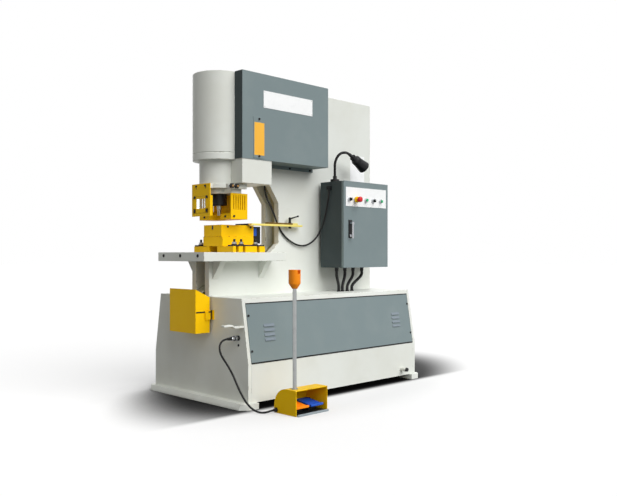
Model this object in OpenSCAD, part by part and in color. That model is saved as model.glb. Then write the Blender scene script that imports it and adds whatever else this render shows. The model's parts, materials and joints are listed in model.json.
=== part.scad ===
// Hydraulic C-frame punching press with a welded base, electrical cabinet and foot switch.
// Origin: floor centre of the base. +X runs from the punch end to the back, +Z is up.

/* [Base] */
// Length of the base over its end plates
base_l = 1610; // [1400:10:1900]
// Width of the base at the floor
base_w = 980; // [900:10:1100]
// Width of the base at its top
base_top_w = 856; // [760:4:900]
// Height of the base top above the floor
base_top_z = 652; // [620:2:680]
// Height where the sides start to lean in
lean_z = 266; // [220:2:330]
// Thickness of the end plates
end_t = 24; // [14:1:34]
// Wall thickness of the welded shell
shell_t = 8; // [5:1:12]
// Thickness of a side panel
panel_t = 6; // [3:1:10]
// Thickness of the foot rails, which is the height of the shell above the floor
foot_t = 36; // [26:1:50]
// How far a foot rail stands out past its end plate
foot_out = 54; // [44:1:80]
// Radius of an anchor hole
anchor_r = 13; // [8:0.5:17]

/* [C-frame] */
// Width over the two frame plates
frame_w = 180; // [150:2:220]
// Thickness of a frame plate
frame_t = 45; // [30:1:60]
// Height of the frame plates above the base
frame_h = 1413; // [1300:5:1500]
// Distance from the rear end of the base to the frame plates
frame_back = 42; // [30:1:200]
// Distance from the punch axis to the back of the throat
throat_depth = 440; // [400:5:480]
// Height of the underside of the upper jaw
jaw_z = 1408; // [1390:1:1440]
// Reach of the head box from the middle to the cabinet's side
head_near = 244; // [230:1:260]
// Reach of the head box from the middle to the far side
head_far = 206; // [200:1:244]
// Length of the head box
head_l = 249; // [230:1:280]
// Thickness of the head box plates
head_t = 25; // [15:1:35]

/* [Ram and cylinder] */
// Distance from the punch end of the base to the punch axis
ram_set = 166; // [160:1:180]
// Outer radius of the cylinder barrel
barrel_r = 172; // [160:1:180]
// Outer radius of the cylinder neck
neck_r = 129; // [120:1:140]
// Radius of the cylinder bore
bore_r = 105; // [90:1:115]
// Radius of the piston rod
rod_r = 62; // [50:1:66]
// Working stroke of the ram
stroke = 70; // [40:1:72]
// Radius of the punch
punch_r = 12; // [6:0.5:16]

/* [Table and die] */
// Height of the table top above the floor
table_z = 930; // [900:1:950]
// Thickness of the table
table_t = 56; // [40:1:70]
// Width of the table
table_w = 490; // [450:2:560]
// How far the table stands out in front of the base
table_out = 140; // [120:1:180]
// Width of the die holder plate
holder_w = 412; // [390:2:440]
// Width of the upper die block
die_w = 186; // [160:2:200]
// Height of the die top above the table
die_rise = 177; // [165:1:180]

/* [Covers] */
// Length of the side cover
cover_l = 779; // [680:1:800]
// Height of the side cover
cover_h = 555; // [500:1:600]
// Sheet thickness of the cover and the guards
sheet_t = 3; // [2:0.5:4]

/* [Electrical cabinet] */
// Width of the cabinet
cabinet_w = 483; // [460:1:540]
// Height of the cabinet
cabinet_h = 609; // [560:1:660]
// Depth of the cabinet without its door
cabinet_d = 204; // [190:1:240]
// Thickness of the door
door_t = 20; // [16:1:26]
// Radius of a control's shank
shank_r = 10.5; // [8:0.5:11]
// Travel of a push button
button_travel = 4; // [2:0.5:5]

/* [Foot switch] */
// Width of the foot switch
foot_w = 256; // [240:1:300]
// Depth of the foot switch
foot_d = 184; // [176:1:210]
// Height of the hood
hood_h = 146; // [136:1:170]
// Height of the top of the stop button's shroud above the floor
shroud_z = 829; // [700:1:900]
// Radius of the pole
pole_r = 11.5; // [9:0.5:13]

/* [Slug bin] */
// Width of the slug bin
bin_w = 276; // [250:2:310]
// Depth of the slug bin
bin_d = 108; // [90:1:114]
// Height of the slug bin at its front
bin_h = 272; // [240:1:290]

/* [Hidden] */
$fn = 64;
// Overrun of every cut
over = 1;
// Running clearance of shafts, and the gap between faces that slide
run_gap = 0.05;
face_gap = 0.3;

// Paint and metal colours
pale = [0.89, 0.90, 0.88];
slate = [0.45, 0.51, 0.53];
dark = [0.10, 0.11, 0.12];
yellow = [1.0, 0.78, 0.05];
steel = [0.72, 0.73, 0.74];
brass = [0.86, 0.74, 0.38];
orange = [0.98, 0.45, 0.08];

// Base: places and details
x_end = -base_l / 2;
half_w = base_w / 2;
half_top = base_top_w / 2;
lean_run = half_w - half_top;
panel_head = 28;
panel_gap = 4;
panel_top_z = base_top_z - panel_head;
window_rim = 60;
panel_screw_inset = 14;
panel_screw_rise = 74;
foot_in = 41;
foot_side = 21;
foot_half = half_w + foot_side;
foot_chamfer = 44;
foot_toe = 12;
foot_slope = 14;
anchor_x = base_l / 2 + foot_out / 2;
anchor_inset = 72;
anchor_y = foot_half - anchor_inset;
louvre_l = 84;
louvre_n = 4;
louvre_pitch = 28;
louvre_h = 20;
louvre_out = 7;
louvre_set = 192;
louvre_z = 394;
drain_r = 14.5;
drain_l = 44;
drain_bore_share = 0.7;
drain_plug_l = 12;
drain_inset = 160;
drain_z = 84;
hanger_l = 147;
hanger_w = 32;
hanger_t = 12;
hanger_y = -434;
hanger_z = 480;
hanger_flat = 66;
hanger_run = 20;
hanger_rise = 12;

// Hydraulic unit inside the base
motor_r = 95;
motor_l = 310;
motor_x = 120;
motor_z = 300;
motor_foot_w = 150;
flange_r = 110;
flange_t = 16;
pump_size = 110;
pump_l = 140;
valve_h = 90;

// Frame: places
frame_set = 15;
frame_x0 = x_end + frame_set;
frame_x1 = -x_end - frame_back;
frame_top_z = base_top_z + frame_h;
frame_y = frame_w / 2;
gap_y = frame_y - frame_t;
ram_x = x_end + ram_set;
throat_x = ram_x + throat_depth;
toe_rise = 64;
throat_low_z = table_z + toe_rise;
brow_h = 142;
throat_high_z = jaw_z - brow_h;
brow_run = 82;
brow_drop = 24;
jaw_run = 116;
toe_run = 73;
table_x0 = x_end - table_out;
table_x1 = throat_x - toe_run;
table_low_z = table_z - table_t;
web_t = 20;
web_set = 60;
gusset_t = 45;
gusset_out = 86;
gusset_drop = 117;
gusset_inset = 204;
gusset_back = 86;
chute_t = 5;
chute_start_z = 668;
chute_rise = 175;
chute_run = 330;
chute_tip = 12;

// Cylinder, ram and head box: heights and places
head_lead = 8;
head_x0 = ram_x - head_lead;
head_x1 = head_x0 + head_l;
head_drop = 40;
head_z0 = jaw_z - head_drop;
barrel_rise = 11;
barrel_top_z = frame_top_z + barrel_rise;
barrel_cap_t = 36;
neck_rise = 111;
step_z = jaw_z + neck_rise;
bore_floor = 26;
bore_low_z = step_z + bore_floor;
gland_drop = 70;
gland_z0 = jaw_z - gland_drop;
gland_t = 28;
gland_lip = 7;
gland_pad_w = 150;
gland_pad_out = 6;
groove_rise = 40;
groove_z = step_z + groove_rise;
groove_w = 6;
groove_d = 3;
cylinder_fit = 0.4;
piston_t = 60;
piston_spare = 20;
piston_z0 = bore_low_z + stroke + piston_spare;
rod_out = 26;
rod_z0 = gland_z0 - rod_out;
nut_r = 50;
nut_h = 79;
nut_rim = 12;
nut_rim_out = 4;
punch_l = 64;
shoulder_l = 26;
shoulder_out = 4;
nut_z0 = rod_z0 - nut_h;
punch_tip_z = nut_z0 - punch_l;

// Stroke limit bracket under the head box
bracket_lead = 80;
bracket_x0 = ram_x - bracket_lead;
bracket_l = 148;
bracket_w = 30;
bracket_t = 28;
bracket_y = -184;
bracket_post_l = 34;
knob_r = 17;
knob_l = 18;
knob_hub_r = 6;
knob_hub_l = 7;
knob_pitch = 40;
knob_inset = 17;

// Guards around the punch
mount_t = 32;
mount_r = 106;
mount_tail = 100;
mount_short = 50;
mount_x1 = ram_x + mount_tail;
mount_z0 = gland_z0 - mount_t;
mount_hole_gap = 10;
mount_hole_r = rod_r + mount_hole_gap;
guard_half = 166;
guard_lead = 36;
guard_x0 = ram_x - guard_lead;
guard_drop = 28;
guard_z0 = punch_tip_z - guard_drop;
grille_t = 8;
slot_n = 6;
slot_w = 7;
slot_pitch = 18;
slot_rim = 24;
strip_t = 37;
strip_slot_gap = 3;
strip_slot_r = nut_r + nut_rim_out + strip_slot_gap;
front_t = 6;
front_half = 95;
front_drop = 9;
front_z0 = punch_tip_z - front_drop;
front_rise = 1;
front_flange = 16;
window_w = 102;
window_h = 62;
window_rise = 80;
window_z = front_z0 + window_rise;
window_lap = 12;
window_t = 4;

// Die set on the table
holder_lead = 51;
holder_x0 = ram_x - holder_lead;
holder_l = 267;
holder_t = 39;
holder_y = holder_w / 2;
tunnel_half = 42;
tunnel_past = 34;
lower_t = 63;
lower_half = 102;
lower_inset = 10;
die_z = table_z + die_rise;
upper_z0 = table_z + holder_t + lower_t;
upper_half = die_w / 2;
upper_over = 4;
insert_r = 28;
insert_h = 40;
insert_gap = 0.4;
slug_r = 20;
table_slug_r = 40;
slit_w = 6;
slit_h = 33;
side_hole_r = 6;
side_hole_d = 14;
side_hole_inset = 52;
stud_inset = 31;
stud_y = holder_y - stud_inset;
stud_xs_shares = [0.13, 0.34, 0.78];
stud_r = 8;
stud_h = 85;
stud_slot_w = 20;
stud_slot_d = 42;
nut_across_r = 15;
nut_t = 14;
washer_r = 19;
washer_t = 4;
strip_w = 50;
clamp_t = 9;
clamp_inset = 1;

// Material gauge: slotted arm, sliding stop and clamp lever
arm_t = 13;
arm_y0 = -138;
arm_w = 30;
arm_slot_w = 10.4;
arm_set = 158;
arm_x0 = ram_x + arm_set;
arm_past = 184;
arm_end_x = throat_x + arm_past;
cross_l = 22;
cross_y1 = 30;
arm_slot_rim = 22;
stop_t = 11;
stop_l = 280;
stop_w = 26;
stop_end = 65;
clamp_stud_r = 5;
tee_r = 11;
tee_t = 12;
lever_hub_r = 10;
lever_hub_h = 40;
lever_l = 80;
lever_r = 5;
lever_tilt = 14;
lever_knob_r = 7;

// Cover on the near side
cover_x0 = head_x0 - sheet_t - face_gap;
cover_y = -head_near - sheet_t - over;
cover_rise = 2;
cover_z0 = barrel_top_z + cover_rise - cover_h;
lip_h = 31;
lip_t = 4;
lip_drop = 23;
access_l = 95;
access_h = 266;
access_inset = 90;
access_rise = 8;

// Cabinet, door and controls
cabinet_set = 991;
cabinet_x0 = x_end + cabinet_set;
cabinet_x1 = cabinet_x0 + cabinet_w;
cabinet_stand = 28;
cabinet_back_y = -frame_y - cabinet_stand;
cabinet_front_y = cabinet_back_y - cabinet_d;
cabinet_lift = 171;
cabinet_z0 = base_top_z + cabinet_lift;
cabinet_z1 = cabinet_z0 + cabinet_h;
cabinet_rim = 18;
stand_r = 12;
stand_inset = 60;
door_back_y = cabinet_front_y - face_gap;
door_y = door_back_y - door_t;
hinge_r = 7;
hinge_pin_r = 4;
hinge_off = 8;
hinge_h = 60;
hinge_inset = 70;
plate_t = 1.5;
plate_rim = 22;
plate_h = 134;
plate_drop = 42;
control_y = door_y - plate_t;
control_drop = 128;
control_z = cabinet_z1 - control_drop;
control_shares = [0.115, 0.25, 0.48, 0.645, 0.82];
bezel_r = 14.75;
bezel_t = 14;
hole_gap = 1;
cap_rest = 3;
cap_out = button_travel + cap_rest;
shank_l = 34;
estop_collar_r = 21;
estop_collar_l = 28;
estop_r = 20;
estop_head_l = 22;
estop_push = 6;
estop_rest = 2;
estop_neck_l = estop_push + estop_rest;
selector_out = 16;
selector_w = 8;
handle_inset = 66;
handle_x = cabinet_x0 + handle_inset;
handle_rise = 312;
handle_z = cabinet_z0 + handle_rise;
handle_plate_w = 34;
handle_plate_h = 125;
handle_plate_t = 6;
handle_plate_up = 24;
handle_pin_r = 5;
handle_hub_r = 12;
handle_hub_l = 26;
handle_l = 108;
handle_w = 15;
handle_t = 9;
rail_plate_t = 3;
rail_plate_rim = 40;
rail_plate_stand = 6;
contactor_n = 4;
contactor_w = 48;
contactor_h = 80;
contactor_d = 85;
contactor_pitch = 82;
contactor_z_share = 0.62;
block_h = 40;
block_d = 45;
block_z_share = 0.25;

// Glands and held cables
gland_r = 13;
gland_l = 30;
gland_hex_r = 15;
gland_hex_l = 9;
grommet_r = 14;
grommet_h = 12;
lead_r = 10.5;
gland_shares = [0.10, 0.28, 0.46, 0.66];
gland_set = 112;
gland_y = cabinet_back_y - gland_set;
lead_shares = [0.106, 0.184, 0.29, 0.393];
lead_set = 18;
lead_y = gland_y - lead_set;
lead_rings = 11;
lead_straight_share = 0.12;

// Lamp
lamp_inset = 30;
lamp_x = cabinet_x0 + lamp_inset;
lamp_y = gland_y;
lamp_base_r = 32;
lamp_base_h = 20;
lamp_r = 9.5;
lamp_pin_r = 8;
lamp_pin_l = 12;
ferrule_r = 14;
ferrule_h = 22;
lamp_rise = 66;
lamp_bend_r = 110;
lamp_bend = 117;
lamp_tail = 20;
collar_r = 11.5;
collar_l = 6;
stem_r = 7;
stem_l = 14;
ball_r = 12;
socket_r = 23;
socket_rim = 4;
socket_l = 26;
head_body_r = 35;
head_mouth_r = 45;
head_mid = 66;
head_len = 138;
head_wall = 3;
lens_t = 3;
lens_set = 4;

// Foot switch: it stands beside the base, its hood opening towards the user
foot_set = 67;
foot_x0 = x_end + foot_set;
foot_x1 = foot_x0 + foot_w;
foot_y0 = -826;
foot_y1 = foot_y0 + foot_d;
foot_base_t = 9;
foot_lip = 16;
foot_lip_h = 14;
hood_wall = 5;
hood_flat = 84;
hood_rear_h = 40;
hood_arc_n = 9;
pedal_t = 14;
pedal_z = 50;
pedal_front = 14;
pin_inset = 34;
pedal_pin_y = foot_y1 - pin_inset;
pedal_pin_z = 48;
pedal_pin_r = 5;
pedal_lug_r = 11;
pedal_post_w = 14;
pole_inset = 40;
pole_x = foot_x0 + pole_inset;
pole_set = 53;
pole_y = foot_y0 + pole_set;
pole_flange_r = 20;
pole_flange_t = 5;
shroud_r = 35;
shroud_h = 108;
shroud_cone = 30;
shroud_socket = 18;
shroud_wall = 4;
shroud_pocket = 46;
shroud_notch = 22;
shroud_turn = -85;
stop_r = 22;
stop_h = 18;
stop_gap = 8;
stop_push = 5;
stop_shank_r = 9;
stop_shank_l = 20;
foot_gland_inset = 20;
foot_gland_y = foot_y1 - foot_gland_inset;
foot_gland_z = 18;
foot_gland_l = 25;

// Connector of the foot cable on the end plate
plug_y = -399;
plug_z = 417;
plug_l = 90;
plug_hex_l = 24;
plug_hex_r = 17;
plug_r = 13;

// Slug bin
bin_gap = 16;
bin_z0 = 430;
bin_half = bin_w / 2;
bin_wall = 3;
bin_slope = 52;
bin_x1 = x_end - bin_gap;
bin_x0 = bin_x1 - bin_d;
bin_pin_r = 6;
bin_pin_l = 12;
bin_pin_set = 24;
bin_pin_rise = 130;
bin_pin_z = bin_z0 + bin_pin_rise;
bracket_notch = 14;
bin_bracket_t = 6;
bin_bracket_h = 59;
bin_bracket_below = 48;
bin_bracket_gap = 3;

// Small screws: radius and height of a cap head, and the radius of its hex socket
screw_r = 7;
screw_h = 5;
screw_socket_r = 3.5;
screw_socket_d = 3;

// Routes of the free cables, measured from the punch end of the base
cable_r = 6;
foot_route = [
    [-90, -399, 417], [-98, -399, 417], [-117, -399, 412], [-134, -400, 400], [-145, -402, 381],
    [-147, -405, 359], [-142, -409, 336], [-132, -414, 314], [-119, -420, 292], [-106, -428, 268],
    [-95, -437, 243], [-86, -448, 217], [-80, -460, 190], [-76, -473, 163], [-72, -488, 135],
    [-67, -506, 106], [-62, -525, 78], [-56, -546, 53], [-48, -569, 32], [-38, -592, 17],
    [-26, -615, 9], [-13, -635, 8], [1, -650, 11], [15, -659, 15], [29, -662, 18], [42, -662, 18]
];
sensor_route = [
    [534, -30, 1438], [534, -30, 1414], [534, -30, 1386], [534, -30, 1358], [535, -35, 1330],
    [537, -46, 1301], [540, -61, 1273], [545, -76, 1246], [551, -88, 1218], [560, -96, 1189],
    [571, -99, 1159], [584, -99, 1133], [599, -99, 1107], [617, -99, 1081], [640, -99, 1055],
    [667, -100, 1032], [697, -101, 1013], [730, -102, 996], [766, -104, 983], [804, -106, 976],
    [843, -109, 978], [880, -114, 990], [912, -121, 1010], [937, -130, 1038], [955, -141, 1071],
    [966, -153, 1106], [972, -165, 1143], [975, -177, 1182], [976, -188, 1222], [976, -199, 1263],
    [976, -208, 1303], [976, -213, 1334], [976, -215, 1354], [976, -215, 1374]
];
elbow_w = 28;
elbow_h = 26;

// Places worked out from the sizes above
cover_screw_shares = [0.08, 0.57, 0.94];
access_x0 = cover_x0 + access_inset;
access_z0 = cover_z0 + access_rise;
lip_z0 = cover_z0 - lip_drop;
lip_screw_z = cover_z0 - lip_drop / 2;
front_x0 = ram_x - neck_r - gland_lip - gland_pad_out - front_t;
table_hole_inset = 63;
table_hole_y = table_w / 2 - table_hole_inset;
table_hole_drop = 22;
table_hole_r = 8.5;
table_hole_l = 40;
head_lower = 5;
clamp_set = 108;
clamp_x = arm_end_x - clamp_set;
clamp_y = arm_y0 + arm_w / 2;
stop_z0 = die_z + arm_t + face_gap;
bracket_drop = 7;
hinge_x = cabinet_x1 + hinge_off;
hinge_y = cabinet_front_y - face_gap / 2;
hinge_leaf = 9;
hinge_zs = [cabinet_z0 + hinge_inset, cabinet_z1 - hinge_inset - hinge_h];
sensor_start = sensor_route[0] + [x_end, 0, 0];
sensor_end = sensor_route[len(sensor_route) - 1] + [x_end, 0, 0];
lamp_z0 = cabinet_z1 + lamp_base_h + face_gap;
bend_z = lamp_z0 + ferrule_h + lamp_rise;
ball_x = lamp_x + lamp_bend_r * (1 - cos(lamp_bend)) + (lamp_tail + stem_l) * sin(lamp_bend);
ball_z = bend_z + lamp_bend_r * sin(lamp_bend) + (lamp_tail + stem_l) * cos(lamp_bend);
foot_mid_x = (foot_x0 + foot_x1) / 2;
pedal_side = 1;
pedal_l = (foot_w - 2 * hood_wall - 3 * pedal_post_w) / 2 - 2 * pedal_side;

// A solid box between two corners
module box(a, b) {
    translate(a) cube(b - a);
}

// Turns a shape that stands along +Z to another direction
module along(dir) {
    turn = dir == "x" ? [0, 90, 0]
        : dir == "-x" ? [0, -90, 0]
        : dir == "y" ? [-90, 0, 0]
        : dir == "-y" ? [90, 0, 0]
        : dir == "-z" ? [180, 0, 0] : [0, 0, 0];
    rotate(turn) children();
}

module rod(p, dir, r, l) {
    translate(p) along(dir) cylinder(r = r, h = l);
}

module hex(p, dir, r, l) {
    translate(p) along(dir) cylinder(r = r, h = l, $fn = 6);
}

// An outline in Y and Z drawn out along X, and one in X and Z drawn out along Y
module prism_x(x0, l, points) {
    translate([x0, 0, 0]) rotate([90, 0, 90]) linear_extrude(l) polygon(points);
}

module prism_y(y0, l, points) {
    translate([0, y0 + l, 0]) rotate([90, 0, 0]) linear_extrude(l) polygon(points);
}

// Both sides of the machine
module both_sides() {
    children();
    mirror([0, 1, 0]) children();
}

// A cap screw with a hex socket, its head standing out along dir from p
module cap_screw(p, dir) {
    translate(p) along(dir) difference() {
        cylinder(r = screw_r, h = screw_h);
        translate([0, 0, screw_h - screw_socket_d]) cylinder(r = screw_socket_r, h = screw_h, $fn = 6);
    }
}

// Headings along a route
function unit(v) = v / norm(v);
function heading(p, i) = unit(p[min(i + 1, len(p) - 1)] - p[max(i - 1, 0)]);
function side_of(p, i) =
    let (h = heading(p, i), s = cross(h, abs(h[2]) > 0.9 ? [1, 0, 0] : [0, 0, 1])) unit(s);
// A side direction that is carried along the route without twisting
function frames(p, i = 0, s = undef) =
    i >= len(p) ? []
    : let (
        h = heading(p, i),
        raw = is_undef(s) ? side_of(p, 0) : s - h * (s * h),
        now = unit(raw)
    ) concat([now], frames(p, i + 1, now));

// A round tube swept along the points of a route
module tube(p, r, sides) {
    n = len(p);
    f = frames(p);
    points = [
        for (i = [0 : n - 1], k = [0 : sides - 1])
        let (h = heading(p, i), s = f[i], c = cross(h, s), a = 360 * k / sides)
        p[i] + r * (s * cos(a) + c * sin(a))
    ];
    skin = [
        for (i = [0 : n - 2], k = [0 : sides - 1])
        let (a = i * sides + k, b = i * sides + (k + 1) % sides)
        each [[a, a + sides, b], [b, a + sides, b + sides]]
    ];
    start = [for (k = [0 : sides - 1]) k];
    finish = [for (k = [sides - 1 : -1 : 0]) (n - 1) * sides + k];
    polyhedron(points = points, faces = concat(skin, [start], [finish]));
}

// Half width of the base at a height
function base_y(z) = z < lean_z ? half_w : half_w - lean_run * (z - lean_z) / (base_top_z - lean_z);

// Mirrors an outline in Y and Z about the machine's middle plane
function both(points) =
    concat(points, [for (i = [len(points) - 1 : -1 : 0]) [-points[i][0], points[i][1]]]);

// Base

module foot_rails() {
    color(pale) for (turn = [0, 180]) rotate([0, 0, turn]) difference() {
        x0 = x_end - foot_out;
        x1 = x_end + end_t + foot_in;
        linear_extrude(foot_t) polygon([
            [x0, foot_half - foot_chamfer], [x0 + foot_chamfer, foot_half], [x1, foot_half],
            [x1, -foot_half], [x0 + foot_chamfer, -foot_half], [x0, -foot_half + foot_chamfer]
        ]);
        // Sloping toe
        prism_y(-foot_half - over, 2 * (foot_half + over), [
            [x0 - over, foot_toe], [x0 + foot_slope, foot_t + over], [x0 - over, foot_t + over]
        ]);
        both_sides() rod([-anchor_x, anchor_y, -over], "z", anchor_r, foot_t + 2 * over);
    }
}

module end_plates() {
    outline = both([[half_w, foot_t], [half_w, lean_z], [half_top, base_top_z]]);
    color(pale) for (x = [x_end, -x_end - end_t]) prism_x(x, end_t, outline);
    // Bent shelf that the foot switch hangs on
    color(pale) translate([0, hanger_y, hanger_z]) prism_y(-hanger_w / 2, hanger_w, [
        [x_end, 0], [x_end, hanger_t], [x_end - hanger_flat, hanger_t],
        [x_end - hanger_flat - hanger_run, hanger_rise + hanger_t],
        [x_end - hanger_l, hanger_rise + hanger_t], [x_end - hanger_l, hanger_rise],
        [x_end - hanger_flat - hanger_run, hanger_rise], [x_end - hanger_flat, 0]
    ]);
}

module base_shell() {
    l = base_l - 2 * end_t;
    in_y = panel_t + shell_t;
    color(pale) difference() {
        prism_x(-l / 2, l, both([
            [half_w, foot_t], [half_w, lean_z], [half_w - panel_t, lean_z],
            [base_y(panel_top_z) - panel_t, panel_top_z], [base_y(panel_top_z), panel_top_z],
            [half_top, base_top_z]
        ]));
        prism_x(-l / 2 - over, l + 2 * over, both([
            [half_w - shell_t, foot_t + shell_t], [half_w - shell_t, lean_z - shell_t],
            [half_w - in_y, lean_z - shell_t], [half_top - in_y, base_top_z - shell_t]
        ]));
        // Openings behind the side panels
        box(
            [-l / 2 + window_rim, -base_w, lean_z + window_rim],
            [l / 2 - window_rim, base_w, panel_top_z - window_rim]
        );
        rod([-x_end - drain_inset, -half_w - over, drain_z], "y", drain_r + run_gap, shell_t + 2 * over);
    }
}

// One pressed louvre, a short hood that stands out of the panel
module louvre(x, z) {
    y = base_y(z);
    prism_x(x, louvre_l, [
        [-y + over, z], [-y - louvre_out, z], [-base_y(z + louvre_h) + over, z + louvre_h]
    ]);
}

module side_panel() {
    z0 = lean_z + panel_gap;
    z1 = panel_top_z - panel_gap;
    x0 = x_end + end_t + panel_gap;
    prism_x(x0, -2 * x0, [
        [-base_y(z0), z0], [-base_y(z1), z1], [-base_y(z1) + panel_t, z1], [-base_y(z0) + panel_t, z0]
    ]);
    for (x = [x_end + louvre_set - louvre_l / 2, -x_end - louvre_set - louvre_l / 2])
        for (i = [0 : louvre_n - 1])
            louvre(x, louvre_z + i * louvre_pitch);
}

module side_panels() {
    color(slate) both_sides() side_panel();
}

// Every fixed black cap screw: side panels, cover, guards and die block
module cap_screws() {
    lean = atan(lean_run / (base_top_z - lean_z));
    panel_x = -x_end - end_t - panel_screw_inset;
    color(dark) both_sides()
        for (x = [-panel_x, panel_x], z = [lean_z + panel_screw_rise, panel_top_z - panel_screw_rise])
            translate([x, -base_y(z), z]) rotate([-lean, 0, 0]) cap_screw([0, 0, 0], "-y");
    // Access panel and cover lip
    color(dark) for (z = [access_z0 + screw_r * 2, access_z0 + access_h - screw_r * 2])
        cap_screw([access_x0 + access_l / 2, cover_y - sheet_t, z], "-y");
    color(dark) for (s = cover_screw_shares)
        cap_screw([head_x1 + s * (cover_x0 + cover_l - head_x1), -frame_y - lip_t, lip_screw_z], "-y");
    // Front guard: two on the gland, four round the window
    color(dark) for (y = [-front_half / 2, front_half / 2])
        cap_screw([front_x0, y, gland_z0 + gland_t / 2], "-x");
    color(dark) for (s = [-1, 1], t = [-1, 1])
        cap_screw([
            front_x0, s * (window_w / 2 + window_lap), window_z + t * (window_h / 2 + window_lap)
        ], "-x");
    // Grilles and stripper
    color(dark) both_sides() cap_screw([guard_x0 + slot_rim, -guard_half, guard_z0 + strip_t / 2], "-y");
    color(dark) both_sides() cap_screw([guard_x0, -guard_half * 2 / 3, guard_z0 + strip_t / 2], "-x");
}

module drain_stub() {
    x = -x_end - drain_inset;
    y = -half_w;
    color(steel) difference() {
        rod([x, y - drain_l, drain_z], "y", drain_r, drain_l + shell_t);
        rod([x, y - drain_l - over, drain_z], "y", drain_bore_share * drain_r, base_w / 2);
    }
    color(dark) hex([x, y - drain_l - drain_plug_l, drain_z], "y", drain_r, drain_plug_l);
}

module pump_motor() {
    floor_z = foot_t + shell_t;
    color(slate) union() {
        rod([motor_x, 0, motor_z], "x", motor_r, motor_l);
        box(
            [motor_x + flange_t, -motor_foot_w / 2, floor_z],
            [motor_x + motor_l - flange_t, motor_foot_w / 2, motor_z]
        );
    }
    color(slate) rod([motor_x - flange_t, 0, motor_z], "x", flange_r, flange_t);
}

module pump_and_valves() {
    x1 = motor_x - flange_t;
    half = pump_size / 2;
    color(steel) box([x1 - pump_l, -half, motor_z - half], [x1, half, motor_z + half]);
    color(steel) box(
        [x1 - pump_l, -half, motor_z + half], [x1 - pump_l / 2, half, motor_z + half + valve_h]
    );
    for (y = [-half / 2, half / 2])
        color(dark) rod([x1 - pump_l / 2, y, motor_z + half + valve_h / 2], "x", half / 3, pump_l / 2);
}

// C-frame

module frame_plates() {
    outline = [
        [frame_x0, base_top_z], [frame_x1, base_top_z], [frame_x1, frame_top_z],
        [head_x1, frame_top_z], [head_x1, jaw_z], [throat_x - jaw_run, jaw_z],
        [throat_x - brow_run, jaw_z - brow_drop], [throat_x, throat_high_z],
        [throat_x, throat_low_z], [table_x1, table_z], [table_x1, table_low_z],
        [frame_x0, table_low_z]
    ];
    color(pale) both_sides() prism_y(-frame_y, frame_t, outline);
}

// Plates welded between the frame plates, the gussets under the table and the slug chute
module frame_webs() {
    x_web = throat_x + web_set;
    z_web = jaw_z + web_set;
    x_knee = throat_x - jaw_run + web_set;
    color(pale) prism_y(-gap_y, 2 * gap_y, [
        [head_x1, z_web], [x_knee, z_web], [x_web, throat_high_z], [x_web, throat_low_z],
        [table_x1, table_low_z], [table_x1, table_low_z - web_t],
        [x_web + web_t, throat_low_z - web_t], [x_web + web_t, throat_high_z + web_t],
        [x_knee + web_t, z_web + web_t], [head_x1, z_web + web_t]
    ]);
    color(pale) box(
        [frame_x1 - web_t, -gap_y, base_top_z], [frame_x1, gap_y, frame_top_z - web_t]
    );
    color(pale) box([head_x1, -gap_y, frame_top_z - web_t], [frame_x1, gap_y, frame_top_z]);
    color(pale) both_sides()
        for (x = [table_x0 + gusset_inset, table_x1 - gusset_back])
            prism_x(x - gusset_t / 2, gusset_t, [
                [frame_y, table_low_z], [frame_y + gusset_out, table_low_z],
                [frame_y, table_low_z - gusset_drop]
            ]);
    x0 = x_end - chute_tip;
    x1 = x0 + chute_run;
    color(steel) prism_y(-gap_y, 2 * gap_y, [
        [x0, chute_start_z], [x1, chute_start_z + chute_rise],
        [x1, chute_start_z + chute_rise + chute_t], [x0, chute_start_z + chute_t]
    ]);
}

module table_plate() {
    color(pale) difference() {
        box([table_x0, -table_w / 2, table_low_z], [table_x1, table_w / 2, table_z]);
        rod([ram_x, 0, table_low_z - over], "z", table_slug_r, table_t + 2 * over);
        for (y = [-table_hole_y, 0, table_hole_y])
            rod([table_x0 - over, y, table_z - table_hole_drop], "x", table_hole_r, table_hole_l + over);
    }
}

module head_box() {
    top_z = frame_top_z - head_lower;
    color(pale) difference() {
        box([head_x0, -head_near, head_z0], [head_x1, head_far, top_z]);
        box(
            [head_x0 + head_t, -head_near + head_t, head_z0 + head_t],
            [head_x1 + over, head_far - head_t, top_z - head_t]
        );
        rod([ram_x, 0, step_z - cylinder_fit], "z", barrel_r + cylinder_fit, frame_h);
        rod([ram_x, 0, head_z0 - over], "z", neck_r + cylinder_fit, frame_h);
    }
}

// Cylinder and ram

module cylinder_barrel() {
    z0 = gland_z0 + gland_t;
    color(pale) translate([ram_x, 0, 0]) rotate_extrude() polygon([
        [rod_r + run_gap, z0], [neck_r, z0], [neck_r, step_z], [barrel_r, step_z],
        [barrel_r, groove_z], [barrel_r - groove_d, groove_z], [barrel_r - groove_d, groove_z + groove_w],
        [barrel_r, groove_z + groove_w], [barrel_r, barrel_top_z], [0, barrel_top_z],
        [0, barrel_top_z - barrel_cap_t], [bore_r, barrel_top_z - barrel_cap_t],
        [bore_r, bore_low_z], [rod_r + run_gap, bore_low_z]
    ]);
}

// Ring under the cylinder, with the flat pad that the front guard is screwed to
module cylinder_gland() {
    r = neck_r + gland_lip;
    color(pale) difference() {
        union() {
            rod([ram_x, 0, gland_z0], "z", r, gland_t);
            box(
                [ram_x - r - gland_pad_out, -gland_pad_w / 2, gland_z0],
                [ram_x - rod_r * 3 / 2, gland_pad_w / 2, gland_z0 + gland_t]
            );
        }
        rod([ram_x, 0, gland_z0 - over], "z", rod_r + run_gap, gland_t + 2 * over);
    }
}

module piston_rod() {
    color(steel) union() {
        rod([ram_x, 0, rod_z0], "z", rod_r, piston_z0 + piston_t - rod_z0);
        rod([ram_x, 0, piston_z0], "z", bore_r - run_gap, piston_t);
    }
}

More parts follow.
